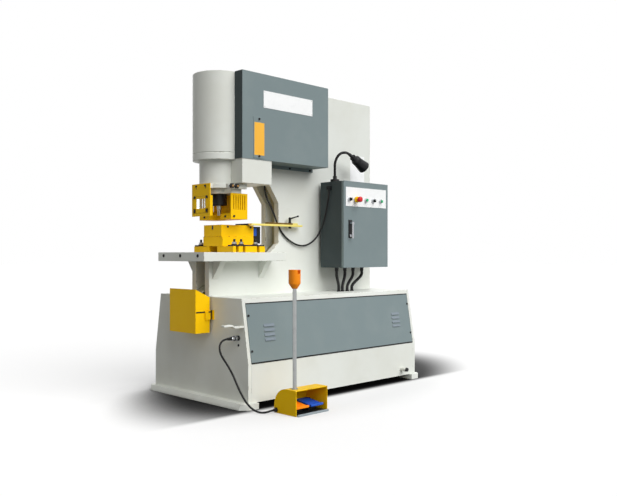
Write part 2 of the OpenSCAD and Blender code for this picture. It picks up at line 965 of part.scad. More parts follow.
module coupling_nut() {
    color(dark) translate([ram_x, 0, 0]) rotate_extrude() polygon([
        [0, nut_z0], [nut_r - nut_rim_out, nut_z0], [nut_r, nut_z0 + nut_rim_out],
        [nut_r, rod_z0 - nut_rim], [nut_r + nut_rim_out, rod_z0 - nut_rim],
        [nut_r + nut_rim_out, rod_z0], [0, rod_z0]
    ]);
}

module punch() {
    r = punch_r + shoulder_out;
    color(steel) translate([ram_x, 0, 0]) rotate_extrude() polygon([
        [0, punch_tip_z], [punch_r, punch_tip_z], [punch_r, nut_z0 - shoulder_l],
        [r, nut_z0 - shoulder_l + shoulder_out], [r, nut_z0], [0, nut_z0]
    ]);
}

module stroke_bracket() {
    y0 = bracket_y - bracket_w / 2;
    z1 = head_z0 - bracket_drop;
    color(pale) union() {
        box([bracket_x0, y0, z1 - bracket_t], [bracket_x0 + bracket_l, y0 + bracket_w, z1]);
        box(
            [bracket_x0 + bracket_l - bracket_post_l, y0, z1 - over],
            [bracket_x0 + bracket_l, y0 + bracket_w, head_z0]
        );
    }
}

// Two clamping knobs with brass hubs on the bracket
module stroke_knobs() {
    y = bracket_y - bracket_w / 2;
    z = head_z0 - bracket_drop - bracket_t / 2;
    for (i = [0, 1]) {
        x = bracket_x0 + knob_inset + i * knob_pitch;
        color(dark) rod([x, y - knob_l, z], "y", knob_r, knob_l);
        color(brass) rod([x, y - knob_l - knob_hub_l, z], "y", knob_hub_r, knob_hub_l);
    }
}

// Guards

module guard_mount() {
    color(pale) difference() {
        union() {
            rod([ram_x, 0, mount_z0], "z", mount_r, mount_t);
            box([guard_x0, -guard_half, mount_z0], [mount_x1 - mount_short, guard_half, gland_z0]);
        }
        rod([ram_x, 0, mount_z0 - over], "z", mount_hole_r, mount_t + 2 * over);
    }
}

// Side plates with upright slots
module guard_grilles() {
    mid_x = (guard_x0 + mount_x1) / 2;
    color(yellow) both_sides() difference() {
        box([guard_x0, -guard_half, guard_z0], [mount_x1, grille_t - guard_half, mount_z0]);
        for (i = [0 : slot_n - 1])
            let (x = mid_x + (i - (slot_n - 1) / 2) * slot_pitch)
            box(
                [x - slot_w / 2, -guard_half - over, guard_z0 + strip_t + slot_rim],
                [x + slot_w / 2, grille_t - guard_half + over, mount_z0 - slot_rim / 2]
            );
    }
}

// Plate that strips the work off the punch, slotted from the front
module stripper_plate() {
    y = guard_half - grille_t;
    color(yellow) difference() {
        box([guard_x0, -y, guard_z0], [mount_x1, y, guard_z0 + strip_t]);
        rod([ram_x, 0, guard_z0 - over], "z", strip_slot_r, strip_t + 2 * over);
        box(
            [guard_x0 - over, -strip_slot_r, guard_z0 - over],
            [ram_x, strip_slot_r, guard_z0 + strip_t + over]
        );
    }
}

module front_guard() {
    z1 = gland_z0 + gland_t + front_rise;
    x1 = front_x0 + front_t;
    color(yellow) difference() {
        union() {
            box([front_x0, -front_half, front_z0], [x1, front_half, z1]);
            both_sides() box(
                [front_x0, front_half - sheet_t, front_z0],
                [x1 + front_flange, front_half, mount_z0 - front_flange]
            );
        }
        box(
            [front_x0 - over, -window_w / 2, window_z - window_h / 2],
            [x1 + over, window_w / 2, window_z + window_h / 2]
        );
    }
}

module guard_window() {
    x0 = front_x0 + front_t;
    y = window_w / 2 + window_lap;
    z = window_h / 2 + window_lap;
    color([0.75, 0.85, 0.9, 0.4]) box([x0, -y, window_z - z], [x0 + window_t, y, window_z + z]);
}

// Die set

module die_holder_plate() {
    z1 = table_z + holder_t;
    color(yellow) difference() {
        box([holder_x0, -holder_y, table_z], [holder_x0 + holder_l, holder_y, z1]);
        box(
            [holder_x0 - over, -tunnel_half, table_z - over],
            [ram_x + tunnel_past, tunnel_half, z1 + over]
        );
        rod([ram_x, 0, table_z - over], "z", slug_r, holder_t + 2 * over);
        for (s = stud_xs_shares)
            both_sides() let (x = holder_x0 + s * holder_l) box(
                [x - stud_slot_w / 2, holder_y - stud_slot_d, table_z - over],
                [x + stud_slot_w / 2, holder_y + over, z1 + over]
            );
    }
}

module die_block_lower() {
    z0 = table_z + holder_t;
    color(yellow) difference() {
        box(
            [holder_x0 - upper_over / 2, -lower_half, z0],
            [holder_x0 + holder_l - lower_inset, lower_half, upper_z0]
        );
        rod([ram_x, 0, z0 - over], "z", slug_r, lower_t + 2 * over);
    }
}

module die_block_upper() {
    x0 = holder_x0 - upper_over;
    x1 = holder_x0 + holder_l - upper_over / 2;
    color(yellow) difference() {
        box([x0, -upper_half, upper_z0], [x1, upper_half, die_z]);
        rod([ram_x, 0, upper_z0 - over], "z", slug_r, die_z - upper_z0 + 2 * over);
        rod([ram_x, 0, die_z - insert_h], "z", insert_r + run_gap, insert_h + over);
        box([x0 - over, -slit_w / 2, die_z - slit_h], [ram_x, slit_w / 2, die_z + over]);
        both_sides() for (x = [x0 + side_hole_inset, x1 - side_hole_inset / 2])
            rod([x, -upper_half - over, die_z - 2 * side_hole_r], "y", side_hole_r, side_hole_d + over);
    }
}

module die_insert() {
    color(steel) difference() {
        rod([ram_x, 0, die_z - insert_h], "z", insert_r, insert_h);
        rod([ram_x, 0, die_z - insert_h - over], "z", punch_r + insert_gap, insert_h + 2 * over);
    }
}

// Thin strips on the holder, with the studs, washers and nuts that hold it to the table
module holder_clamps() {
    z = table_z + holder_t;
    color(dark) both_sides() difference() {
        box(
            [holder_x0 + clamp_inset, stud_y - strip_w / 2, z],
            [holder_x0 + holder_l - clamp_inset, stud_y + strip_w / 2, z + clamp_t]
        );
        for (s = stud_xs_shares)
            rod([holder_x0 + s * holder_l, stud_y, z - over], "z", stud_r + face_gap, clamp_t + 2 * over);
    }
    for (s = stud_xs_shares)
        both_sides() translate([holder_x0 + s * holder_l, stud_y, 0]) {
            color(dark) union() {
                rod([0, 0, table_z], "z", stud_r, stud_h);
                rod([0, 0, z + clamp_t], "z", washer_r, washer_t);
                hex([0, 0, z + clamp_t + washer_t], "z", nut_across_r, nut_t);
            }
        }
}

// Material gauge

// Slotted arm beside the frame, on a cross bar that lies on the die block
module gauge_arm() {
    y1 = arm_y0 + arm_w;
    mid_y = arm_y0 + arm_w / 2;
    color(brass) difference() {
        union() {
            box([arm_x0, arm_y0, die_z], [arm_end_x, y1, die_z + arm_t]);
            box([arm_x0, arm_y0, die_z], [arm_x0 + cross_l, cross_y1, die_z + arm_t]);
        }
        box(
            [arm_x0 + cross_l + arm_slot_rim, mid_y - arm_slot_w / 2, die_z - over],
            [arm_end_x - arm_slot_rim, mid_y + arm_slot_w / 2, die_z + arm_t + over]
        );
    }
}

// Bar that slides on the arm, and the nut under the slot
module stop_carriage() {
    color(brass) difference() {
        box(
            [clamp_x + stop_end - stop_l, clamp_y - stop_w / 2, stop_z0],
            [clamp_x + stop_end, clamp_y + stop_w / 2, stop_z0 + stop_t]
        );
        rod([clamp_x, clamp_y, stop_z0 - over], "z", clamp_stud_r + run_gap, stop_t + 2 * over);
    }
    color(dark) difference() {
        hex([clamp_x, clamp_y, die_z - face_gap - tee_t], "z", tee_r, tee_t);
        rod([clamp_x, clamp_y, die_z - tee_t - over], "z", clamp_stud_r + run_gap, tee_t + 2 * over);
    }
}

module clamp_lever() {
    z0 = die_z - face_gap - tee_t;
    z1 = stop_z0 + stop_t + face_gap;
    color(dark) union() {
        rod([clamp_x, clamp_y, z0], "z", clamp_stud_r, z1 + lever_hub_h - z0);
        rod([clamp_x, clamp_y, z1], "z", lever_hub_r, lever_hub_h);
        translate([clamp_x, clamp_y, z1 + lever_hub_h - lever_hub_r]) rotate([0, 90 - lever_tilt, 0]) {
            cylinder(r = lever_r, h = lever_l);
            translate([0, 0, lever_l]) sphere(r = lever_knob_r);
        }
    }
}

// Cover on the near side: box, lip strip on the frame and access panel
module cover() {
    x1 = cover_x0 + cover_l;
    z1 = cover_z0 + cover_h;
    color(slate) difference() {
        box([cover_x0, cover_y, cover_z0], [x1, -frame_y, z1]);
        box(
            [cover_x0 + sheet_t, cover_y + sheet_t, cover_z0 + sheet_t],
            [x1 - sheet_t, -frame_y + over, z1 - sheet_t]
        );
        // The head box fills the end of the cover
        box(
            [cover_x0 + sheet_t, -head_near - over, cover_z0 - over],
            [head_x1 + over, -frame_y + over, z1 - sheet_t]
        );
        // Notch round the cylinder
        rod([ram_x, 0, cover_z0 - over], "z", barrel_r + cylinder_fit, cover_h + 2 * over);
        box(
            [head_x1, -frame_y - lip_t - over, cover_z0 - over],
            [x1 + over, -frame_y + over, lip_z0 + lip_h + over]
        );
    }
    color(slate) box([head_x1 + over, -frame_y - lip_t, lip_z0], [x1, -frame_y, lip_z0 + lip_h]);
    color(slate) box(
        [access_x0, cover_y - sheet_t, access_z0], [access_x0 + access_l, cover_y, access_z0 + access_h]
    );
}

// Electrical cabinet

module cabinet_shell() {
    color(slate) difference() {
        box([cabinet_x0, cabinet_front_y, cabinet_z0], [cabinet_x1, cabinet_back_y, cabinet_z1]);
        box(
            [cabinet_x0 + sheet_t, cabinet_front_y + sheet_t, cabinet_z0 + sheet_t],
            [cabinet_x1 - sheet_t, cabinet_back_y - sheet_t, cabinet_z1 - sheet_t]
        );
        box(
            [cabinet_x0 + cabinet_rim, cabinet_front_y - over, cabinet_z0 + cabinet_rim],
            [cabinet_x1 - cabinet_rim, cabinet_front_y + 2 * sheet_t, cabinet_z1 - cabinet_rim]
        );
    }
    color(slate) for (x = [cabinet_x0 + stand_inset, cabinet_x1 - stand_inset])
        for (z = [cabinet_z0 + stand_inset, cabinet_z1 - stand_inset])
            rod([x, cabinet_back_y, z], "y", stand_r, cabinet_stand);
    color(slate) for (z = hinge_zs) {
        difference() {
            union() {
                rod([hinge_x, hinge_y, z], "z", hinge_r, hinge_h / 2 - face_gap);
                box(
                    [cabinet_x1, hinge_y + face_gap, z],
                    [hinge_x, hinge_y + hinge_leaf, z + hinge_h / 2 - face_gap]
                );
            }
            rod([hinge_x, hinge_y, z + over], "z", hinge_pin_r, hinge_h);
        }
        rod([hinge_x, hinge_y, z + over], "z", hinge_pin_r, hinge_h - 2 * over);
    }
}

module contactor_panel() {
    y1 = cabinet_back_y - sheet_t - rail_plate_stand;
    y0 = y1 - rail_plate_t;
    rim = rail_plate_rim;
    mid_x = (cabinet_x0 + cabinet_x1) / 2;
    color(steel) union() {
        box([cabinet_x0 + rim, y0, cabinet_z0 + rim], [cabinet_x1 - rim, y1, cabinet_z1 - rim]);
        for (x = [cabinet_x0 + 2 * rim, cabinet_x1 - 2 * rim])
            for (z = [cabinet_z0 + 2 * rim, cabinet_z1 - 2 * rim])
                rod([x, y0, z], "y", stand_r / 2, rail_plate_stand + rail_plate_t);
    }
    z_row = cabinet_z0 + contactor_z_share * cabinet_h;
    color(dark) for (i = [0 : contactor_n - 1])
        let (x = mid_x + (i - (contactor_n - 1) / 2) * contactor_pitch)
        box([x - contactor_w / 2, y0 - contactor_d, z_row], [x + contactor_w / 2, y0, z_row + contactor_h]);
    z_block = cabinet_z0 + block_z_share * cabinet_h;
    color(steel) box(
        [cabinet_x0 + 2 * rim, y0 - block_d, z_block], [cabinet_x1 - 2 * rim, y0, z_block + block_h]
    );
}

function control_x(i) = cabinet_x0 + control_shares[i] * cabinet_w;

module cabinet_door() {
    color(slate) difference() {
        box([cabinet_x0, door_y, cabinet_z0], [cabinet_x1, door_back_y, cabinet_z1]);
        box(
            [cabinet_x0 + sheet_t, door_y + sheet_t, cabinet_z0 + sheet_t],
            [cabinet_x1 - sheet_t, door_back_y + over, cabinet_z1 - sheet_t]
        );
        for (i = [0 : len(control_shares) - 1])
            rod([control_x(i), door_y - over, control_z], "y", shank_r + hole_gap, sheet_t + 2 * over);
    }
    color(slate) for (z = hinge_zs) difference() {
        union() {
            rod([hinge_x, hinge_y, z + hinge_h / 2], "z", hinge_r, hinge_h / 2 - face_gap);
            box(
                [cabinet_x1, hinge_y - hinge_leaf, z + hinge_h / 2],
                [hinge_x, hinge_y - face_gap, z + hinge_h - face_gap]
            );
        }
        rod([hinge_x, hinge_y, z], "z", hinge_pin_r + run_gap, hinge_h + over);
    }
}

module control_plate() {
    color([0.95, 0.95, 0.95]) difference() {
        box(
            [cabinet_x0 + plate_rim, control_y, cabinet_z1 - plate_drop - plate_h],
            [cabinet_x1 - plate_rim, door_y, cabinet_z1 - plate_drop]
        );
        for (i = [0 : len(control_shares) - 1])
            rod([control_x(i), control_y - over, control_z], "y", shank_r + hole_gap, plate_t + 2 * over);
    }
}

// Bezels of the controls, the collar of the stop button and the plate of the handle
module door_fittings() {
    plate_top_z = handle_z + handle_plate_up;
    color(steel) for (i = [0, 2, 3, 4]) difference() {
        rod([control_x(i), control_y, control_z], "-y", bezel_r, bezel_t);
        rod([control_x(i), control_y + over, control_z], "-y", shank_r + run_gap, bezel_t + 2 * over);
    }
    color(yellow) difference() {
        rod([control_x(1), control_y, control_z], "-y", estop_collar_r, estop_collar_l);
        rod([control_x(1), control_y + over, control_z], "-y", shank_r + run_gap, 2 * estop_collar_l);
    }
    color(steel) difference() {
        box(
            [handle_x - handle_plate_w / 2, door_y - handle_plate_t, plate_top_z - handle_plate_h],
            [handle_x + handle_plate_w / 2, door_y, plate_top_z]
        );
        rod([handle_x, door_y + over, handle_z], "-y", handle_pin_r + run_gap, handle_plate_t + 2 * over);
    }
}

// A round push button: shank through the bezel and a cap that stands out of it
module push_button(i) {
    x = control_x(i);
    y = control_y - bezel_t;
    rod([x, y - cap_out, control_z], "y", shank_r, shank_l);
}

module start_button() {
    color([0.1, 0.65, 0.35]) push_button(2);
}

module run_button() {
    color([0.1, 0.65, 0.35]) push_button(4);
}

// A turn switch: shank in the bezel and a raised finger bar
module selector(i) {
    x = control_x(i);
    y = control_y - bezel_t;
    union() {
        rod([x, y - cap_out, control_z], "y", shank_r, shank_l);
        box(
            [x - selector_w / 2, y - selector_out, control_z - shank_r + over],
            [x + selector_w / 2, y - cap_out, control_z + shank_r - over]
        );
    }
}

module mode_selector() {
    color(dark) selector(0);
}

module jog_selector() {
    color(dark) selector(3);
}

module estop_head() {
    y = control_y - estop_collar_l - estop_neck_l;
    color([0.85, 0.1, 0.15]) union() {
        rod([control_x(1), y, control_z], "-y", estop_r, estop_head_l);
        rod([control_x(1), y, control_z], "y", shank_r, shank_l + estop_neck_l);
    }
}

module door_handle() {
    y = door_y - handle_plate_t - face_gap;
    color(steel) union() {
        rod([handle_x, y, handle_z], "-y", handle_hub_r, handle_hub_l);
        rod([handle_x, y, handle_z], "y", handle_pin_r, handle_plate_t);
        box(
            [handle_x - handle_w / 2, y - handle_hub_l, handle_z - handle_l],
            [handle_x + handle_w / 2, y - handle_hub_l + handle_t, handle_z]
        );
    }
}

// Cables and glands

function gland_x(i) = cabinet_x0 + gland_shares[i] * cabinet_w;

module gland(p, dir, l) {
    hex(p, dir, gland_hex_r, gland_hex_l);
    rod(p, dir, gland_r, l);
}

module cable_glands() {
    color(dark) for (i = [0 : len(gland_shares) - 1]) {
        union() gland([gland_x(i), gland_y, cabinet_z0], "-z", gland_l);
        rod([cabinet_x0 + lead_shares[i] * cabinet_w, lead_y, base_top_z], "z", grommet_r, grommet_h);
    }
    // Foot switch gland, the connector on the end plate and the sensor cable's glands
    color(dark) union() gland([foot_x0, foot_gland_y, foot_gland_z], "-x", foot_gland_l);
    color(steel) union() {
        hex([x_end, plug_y, plug_z], "-x", plug_hex_r, plug_hex_l);
        rod([x_end, plug_y, plug_z], "-x", plug_r, plug_l);
    }
    color(dark) rod(sensor_start, "z", gland_r, jaw_z + web_set - sensor_start[2]);
    color(dark) box(
        [sensor_end[0] - elbow_w / 2, sensor_end[1] - elbow_w / 2, sensor_end[2]],
        [cabinet_x0, sensor_end[1] + elbow_w / 2, sensor_end[2] + elbow_h]
    );
}

// One held lead: an S-shaped fall from a gland to its grommet
function lead_path(i) = [
    for (k = [0 : lead_rings - 1])
    let (t = k / (lead_rings - 1),
        u = min(max((t - lead_straight_share) / (1 - 2 * lead_straight_share), 0), 1),
        s = u * u * (3 - 2 * u),
        a = [gland_x(i), gland_y, cabinet_z0 - gland_l],
        b = [cabinet_x0 + lead_shares[i] * cabinet_w, lead_y, base_top_z + grommet_h])
    [a[0] + (b[0] - a[0]) * s, a[1] + (b[1] - a[1]) * s, a[2] + (b[2] - a[2]) * t]
];

module cabinet_cables() {
    color(dark) for (i = [0 : len(gland_shares) - 1]) tube(lead_path(i), lead_r, 12);
}

module foot_cable() {
    color(dark) translate([x_end, 0, 0]) tube(foot_route, cable_r, 10);
}

module sensor_cable() {
    color(dark) translate([x_end, 0, 0]) tube(sensor_route, cable_r, 10);
}

// Lamp on the cabinet

module lamp_base() {
    color(dark) difference() {
        rod([lamp_x, lamp_y, cabinet_z1], "z", lamp_base_r, lamp_base_h);
        rod([lamp_x, lamp_y, lamp_z0 - face_gap - lamp_pin_l], "z", lamp_pin_r + run_gap, lamp_base_h);
    }
}

// Stiff neck: upright, then bent over the door
module lamp_neck() {
    color(dark) union() {
        rod([lamp_x, lamp_y, lamp_z0 - lamp_pin_l], "z", lamp_pin_r, lamp_pin_l + over);
        rod([lamp_x, lamp_y, lamp_z0], "z", ferrule_r, ferrule_h);
        rod([lamp_x, lamp_y, lamp_z0 + ferrule_h - over], "z", lamp_r, lamp_rise);
        rod([lamp_x, lamp_y, bend_z - collar_l], "z", collar_r, 2 * collar_l);
        translate([lamp_x + lamp_bend_r, lamp_y, bend_z]) rotate([90, 0, 0]) rotate([0, 0, 180 - lamp_bend])
            rotate_extrude(angle = lamp_bend) translate([lamp_bend_r, 0]) circle(r = lamp_r);
        translate([ball_x, lamp_y, ball_z]) rotate([0, lamp_bend, 0]) {
            translate([0, 0, -lamp_tail - stem_l - collar_l])
                cylinder(r = collar_r, h = lamp_tail + collar_l);
            translate([0, 0, -stem_l - over]) cylinder(r = stem_r, h = stem_l + over);
            sphere(r = ball_r);
        }
    }
}

// Bell-shaped head with its lens, on the ball of the neck
module lamp_head() {
    lens_z = head_len - lens_set - lens_t;
    mouth_r = head_mouth_r - head_wall;
    translate([ball_x, lamp_y, ball_z]) rotate([0, lamp_bend, 0]) {
        color(dark) difference() {
            rotate_extrude() polygon([
                [0, -socket_rim], [socket_r, -socket_rim], [socket_r, socket_l],
                [head_body_r, head_mid / 2 + over], [head_body_r, head_mid], [head_mouth_r, head_len],
                [mouth_r, head_len], [mouth_r, lens_z], [0, lens_z]
            ]);
            sphere(r = ball_r + run_gap);
        }
        color(steel) translate([0, 0, lens_z]) cylinder(r = mouth_r - face_gap, h = lens_t);
    }
}

// Foot switch

// Side outline of the hood, drawn in by a wall thickness
function hood_outline(wall) =
    let (
        z1 = hood_h - wall, y_bend = foot_y0 + hood_flat,
        run = foot_y1 - wall - y_bend, drop = z1 - hood_rear_h
    )
    concat(
        [[foot_y0 - (wall > 0 ? over : 0), wall > 0 ? -over : 0]],
        [[foot_y0 - (wall > 0 ? over : 0), z1]],
        [for (k = [0 : hood_arc_n]) let (a = 90 * k / hood_arc_n)
            [y_bend + run * sin(a), hood_rear_h + drop * cos(a)]],
        [[foot_y1 - wall, wall > 0 ? -over : 0]]
    );

module pedal_hood() {
    color(yellow) difference() {
        prism_x(foot_x0, foot_w, hood_outline(0));
        prism_x(foot_x0 + hood_wall, foot_w - 2 * hood_wall, hood_outline(hood_wall));
    }
}

module pedal_base() {
    inner_x0 = foot_x0 + hood_wall + face_gap;
    inner_x1 = foot_x1 - hood_wall - face_gap;
    color(steel) union() {
        box([inner_x0, foot_y0, 0], [inner_x1, foot_y1 - hood_wall - face_gap, foot_base_t]);
        box([inner_x0, foot_y0 - foot_lip, 0], [inner_x1, foot_y0, foot_base_t / 2]);
        box([inner_x0, foot_y0 - foot_lip, 0], [inner_x1, foot_y0 - foot_lip * 3 / 4, foot_lip_h]);
        for (x = [inner_x0, foot_mid_x - pedal_post_w / 2, inner_x1 - pedal_post_w])
            box(
                [x, pedal_pin_y - pedal_lug_r, foot_base_t / 2],
                [x + pedal_post_w, pedal_pin_y + pedal_lug_r, pedal_pin_z + pedal_lug_r]
            );
        rod([inner_x0, pedal_pin_y, pedal_pin_z], "x", pedal_pin_r, inner_x1 - inner_x0);
    }
}

// Treadle plate that turns on the pin at its back
module pedal(x) {
    y0 = foot_y0 + pedal_front;
    difference() {
        union() {
            box([x, y0, pedal_z], [x + pedal_l, pedal_pin_y, pedal_z + pedal_t]);
            rod([x, pedal_pin_y, pedal_pin_z], "x", pedal_lug_r, pedal_l);
            box([x, y0, pedal_z - pedal_t], [x + pedal_l, y0 + pedal_t / 2, pedal_z + pedal_t / 2]);
        }
        rod([x - over, pedal_pin_y, pedal_pin_z], "x", pedal_pin_r + run_gap, pedal_l + 2 * over);
    }
}

module pedal_left() {
    color(orange) pedal(foot_x0 + hood_wall + pedal_post_w + pedal_side);
}

module pedal_right() {
    color([0.15, 0.3, 0.75]) pedal(foot_mid_x + pedal_post_w / 2 + pedal_side);
}

module pedal_pole() {
    color(steel) union() {
        rod([pole_x, pole_y, hood_h], "z", pole_r, shroud_z - shroud_h + shroud_socket - hood_h);
        rod([pole_x, pole_y, hood_h], "z", pole_flange_r, pole_flange_t);
    }
}

module pole_shroud() {
    z0 = shroud_z - shroud_h;
    floor_z = shroud_z - shroud_pocket;
    well_z = floor_z - stop_shank_l - stop_push;
    color(orange) difference() {
        translate([pole_x, pole_y, 0]) rotate_extrude() polygon([
            [pole_r + run_gap, z0], [pole_r + shroud_wall, z0], [shroud_r, z0 + shroud_cone],
            [shroud_r, shroud_z], [shroud_r - shroud_wall, shroud_z], [shroud_r - shroud_wall, floor_z],
            [stop_shank_r + run_gap, floor_z], [stop_shank_r + run_gap, well_z], [0, well_z],
            [0, z0 + shroud_socket], [pole_r + run_gap, z0 + shroud_socket]
        ]);
        translate([pole_x, pole_y, 0]) rotate([0, 0, shroud_turn])
            box(
                [0, -shroud_notch / 2, shroud_z - shroud_notch],
                [2 * shroud_r, shroud_notch / 2, shroud_z + over]
            );
    }
}

module pole_button() {
    z = shroud_z - shroud_pocket + stop_gap;
    color([0.85, 0.1, 0.15]) union() {
        rod([pole_x, pole_y, z], "z", stop_r, stop_h);
        rod([pole_x, pole_y, z - stop_gap - stop_shank_l], "z", stop_shank_r, stop_gap + stop_shank_l);
    }
}

// Slug bin

module slug_bin() {
    z1 = bin_z0 + bin_h;
    color(yellow) difference() {
        prism_y(-bin_half, bin_w, [
            [bin_x0, bin_z0], [bin_x1, bin_z0], [bin_x1, z1 - bin_slope], [bin_x0, z1]
        ]);
        prism_y(-bin_half + bin_wall, bin_w - 2 * bin_wall, [
            [bin_x0 + bin_wall, bin_z0 + bin_wall], [bin_x1 - bin_wall, bin_z0 + bin_wall],
            [bin_x1 - bin_wall, z1 + over], [bin_x0 + bin_wall, z1 + over]
        ]);
    }
    color(dark) both_sides() rod([bin_x1 - bin_pin_set, bin_half, bin_pin_z], "y", bin_pin_r, bin_pin_l);
}

// Notched brackets on the end plate that the bin's pins drop into
module bin_brackets() {
    x = bin_x1 - bin_pin_set;
    y = bin_half + bin_bracket_gap;
    z0 = bin_pin_z - bin_bracket_below;
    color(yellow) both_sides() difference() {
        union() {
            box([x - bracket_notch, y, z0], [x_end, y + bin_bracket_t, z0 + bin_bracket_h]);
            box([x_end - bin_bracket_t, y, z0], [x_end, y + 4 * bin_bracket_t, z0 + bin_bracket_h]);
        }
        rod([x, y - over, bin_pin_z], "y", bin_pin_r + face_gap, bin_bracket_t + 2 * over);
        box(
            [x - bin_pin_r - face_gap, y - over, bin_pin_z],
            [x + bin_pin_r + face_gap, y + bin_bracket_t + over, z0 + bin_bracket_h + over]
        );
    }
}

foot_rails();
end_plates();
base_shell();
side_panels();
cap_screws();
drain_stub();
pump_motor();
pump_and_valves();
frame_plates();
frame_webs();
table_plate();
head_box();
cylinder_barrel();
cylinder_gland();
cover();
stroke_bracket();
stroke_knobs();
die_holder_plate();
die_block_lower();
die_block_upper();
die_insert();
holder_clamps();
gauge_arm();
guard_mount();
stripper_plate();
guard_grilles();
front_guard();
guard_window();
cabinet_shell();
contactor_panel();
cable_glands();
cabinet_cables();
lamp_base();
pedal_base();
pedal_hood();
pedal_pole();
pole_shroud();
foot_cable();
sensor_cable();
bin_brackets();
piston_rod();
coupling_nut();
punch();
cabinet_door();
control_plate();
door_fittings();
door_handle();
estop_head();
start_button();
run_button();
mode_selector();
jog_selector();
lamp_neck();
lamp_head();
stop_carriage();
clamp_lever();
pedal_left();
pedal_right();
pole_button();
slug_bin();
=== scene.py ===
"""Looks of the hydraulic punching press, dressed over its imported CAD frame."""

import json
import math

import bmesh
import bpy
from mathutils import Matrix, Vector


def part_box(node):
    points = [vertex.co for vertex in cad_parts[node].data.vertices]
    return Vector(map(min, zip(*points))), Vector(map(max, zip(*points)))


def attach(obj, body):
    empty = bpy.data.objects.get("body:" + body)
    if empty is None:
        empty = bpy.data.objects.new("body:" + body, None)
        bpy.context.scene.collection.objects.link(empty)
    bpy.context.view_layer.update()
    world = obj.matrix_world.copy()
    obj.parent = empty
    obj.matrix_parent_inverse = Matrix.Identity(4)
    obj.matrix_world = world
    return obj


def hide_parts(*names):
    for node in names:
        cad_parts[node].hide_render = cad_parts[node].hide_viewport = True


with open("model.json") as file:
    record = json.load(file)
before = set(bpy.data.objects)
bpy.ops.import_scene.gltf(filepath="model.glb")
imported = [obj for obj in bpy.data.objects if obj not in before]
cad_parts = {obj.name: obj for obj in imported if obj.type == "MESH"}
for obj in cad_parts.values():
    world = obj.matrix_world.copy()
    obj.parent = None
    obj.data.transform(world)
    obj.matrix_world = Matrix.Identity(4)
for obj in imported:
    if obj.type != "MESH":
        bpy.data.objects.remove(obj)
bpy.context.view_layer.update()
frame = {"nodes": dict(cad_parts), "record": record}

# Ways along the axes; near is the side with the cabinet

UP, DOWN = (0, 0, 1), (0, 0, -1)
NEAR, FAR = (0, -1, 0), (0, 1, 0)
PUNCH_END, BACK = (-1, 0, 0), (1, 0, 0)


def mm(x, y, z):
    """A point of the machine given in millimetres."""
    return Vector((x, y, z)) / 1000


def rgb(red, green, blue):
    """A colour given as it looks on a screen, 0 to 255."""
    shares = [c / 255 for c in (red, green, blue)]
    linear = [((c + 0.055) / 1.055) ** 2.4 if c > 0.04 else c / 12.92 for c in shares]
    return (*linear, 1)


def grey(level):
    """A grey given as its share of light."""
    return (level, level, level, 1)


# Finishes

class Wire:
    """A value in a finish's nodes; arithmetic on it adds Math nodes."""

    def __init__(self, finish, socket):
        self.finish = finish
        self.socket = socket

    def maths(self, operation, first, second):
        return self.finish.node("ShaderNodeMath", {"operation": operation}, {0: first, 1: second})

    def __add__(self, other):
        return self.maths("ADD", self, other)

    def __radd__(self, other):
        return self.maths("ADD", other, self)

    def __rsub__(self, other):
        return self.maths("SUBTRACT", other, self)

    def __mul__(self, other):
        return self.maths("MULTIPLY", self, other)

    def __rmul__(self, other):
        return self.maths("MULTIPLY", other, self)


class Finish:
    """A material whose shader is fed by a few procedural nodes."""

    def __init__(self, name, constants):
        self.material = bpy.data.materials.new(name)
        self.material.use_nodes = True
        self.nodes = self.material.node_tree.nodes
        self.links = self.material.node_tree.links
        self.shader = self.nodes["Principled BSDF"]
        for socket, value in constants.items():
            self.shader.inputs[socket].default_value = value
        self.place = self.node("ShaderNodeTexCoord", output="Object")

    def node(self, kind, settings=None, inputs=None, output=0):
        """Adds a node, with wires or plain values on its inputs."""
        node = self.nodes.new(kind)
        for name, value in (settings or {}).items():
            setattr(node, name, value)
        for name, value in (inputs or {}).items():
            if isinstance(value, Wire):
                self.links.new(value.socket, node.inputs[name])
            else:
                node.inputs[name].default_value = value
        return Wire(self, node.outputs[output])

    def feed(self, socket, wire):
        self.links.new(wire.socket, self.shader.inputs[socket])

    def noise(self, scale, detail, stretch=None):
        place = self.place
        if stretch:
            place = self.node("ShaderNodeMapping", inputs={"Vector": place, "Scale": stretch})
        return self.node("ShaderNodeTexNoise", inputs={"Vector": place, "Scale": scale, "Detail": detail})

    def rise(self, value, low, high):
        """0 below low, 1 above high and smooth between."""
        return self.node(
            "ShaderNodeMapRange", {"interpolation_type": "SMOOTHSTEP"},
            {"Value": value, "From Min": low, "From Max": high},
        )

    def mix(self, share, first, second):
        return self.node("ShaderNodeMix", {"data_type": "RGBA"}, {0: share, 6: first, 7: second}, output=2)

    def edges(self):
        """1 on the rounded edges of a piece and 0 on its faces."""
        return self.node("ShaderNodeAttribute", {"attribute_name": "edge"}, output="Fac")

    def bump(self, height, distance, strength=1):
        self.feed("Normal", self.node(
            "ShaderNodeBump", inputs={"Height": height, "Distance": distance, "Strength": strength}
        ))


def paint(name, colour, dusty, worn, gloss, peel):
    """Sprayed paint: faint clouds, a dusty film, chips along the edges and orange peel."""
    finish = Finish(name, {"Specular IOR Level": 0.12})
    cloud = finish.noise(scale=2.6, detail=4)
    film = finish.noise(scale=11, detail=5)
    chips = finish.edges() * finish.rise(finish.noise(scale=38, detail=4), 0.54, 0.62)
    base = finish.mix(0.55 * finish.rise(cloud, 0.35, 0.75), colour, dusty)
    base = finish.mix(0.25 * finish.rise(film, 0.5, 0.8), base, dusty)
    finish.feed("Base Color", finish.mix(chips, base, worn))
    finish.feed("Roughness", gloss + 0.14 * film + 0.1 * chips)
    finish.bump(finish.noise(scale=190, detail=3), distance=peel / 1000)
    return finish


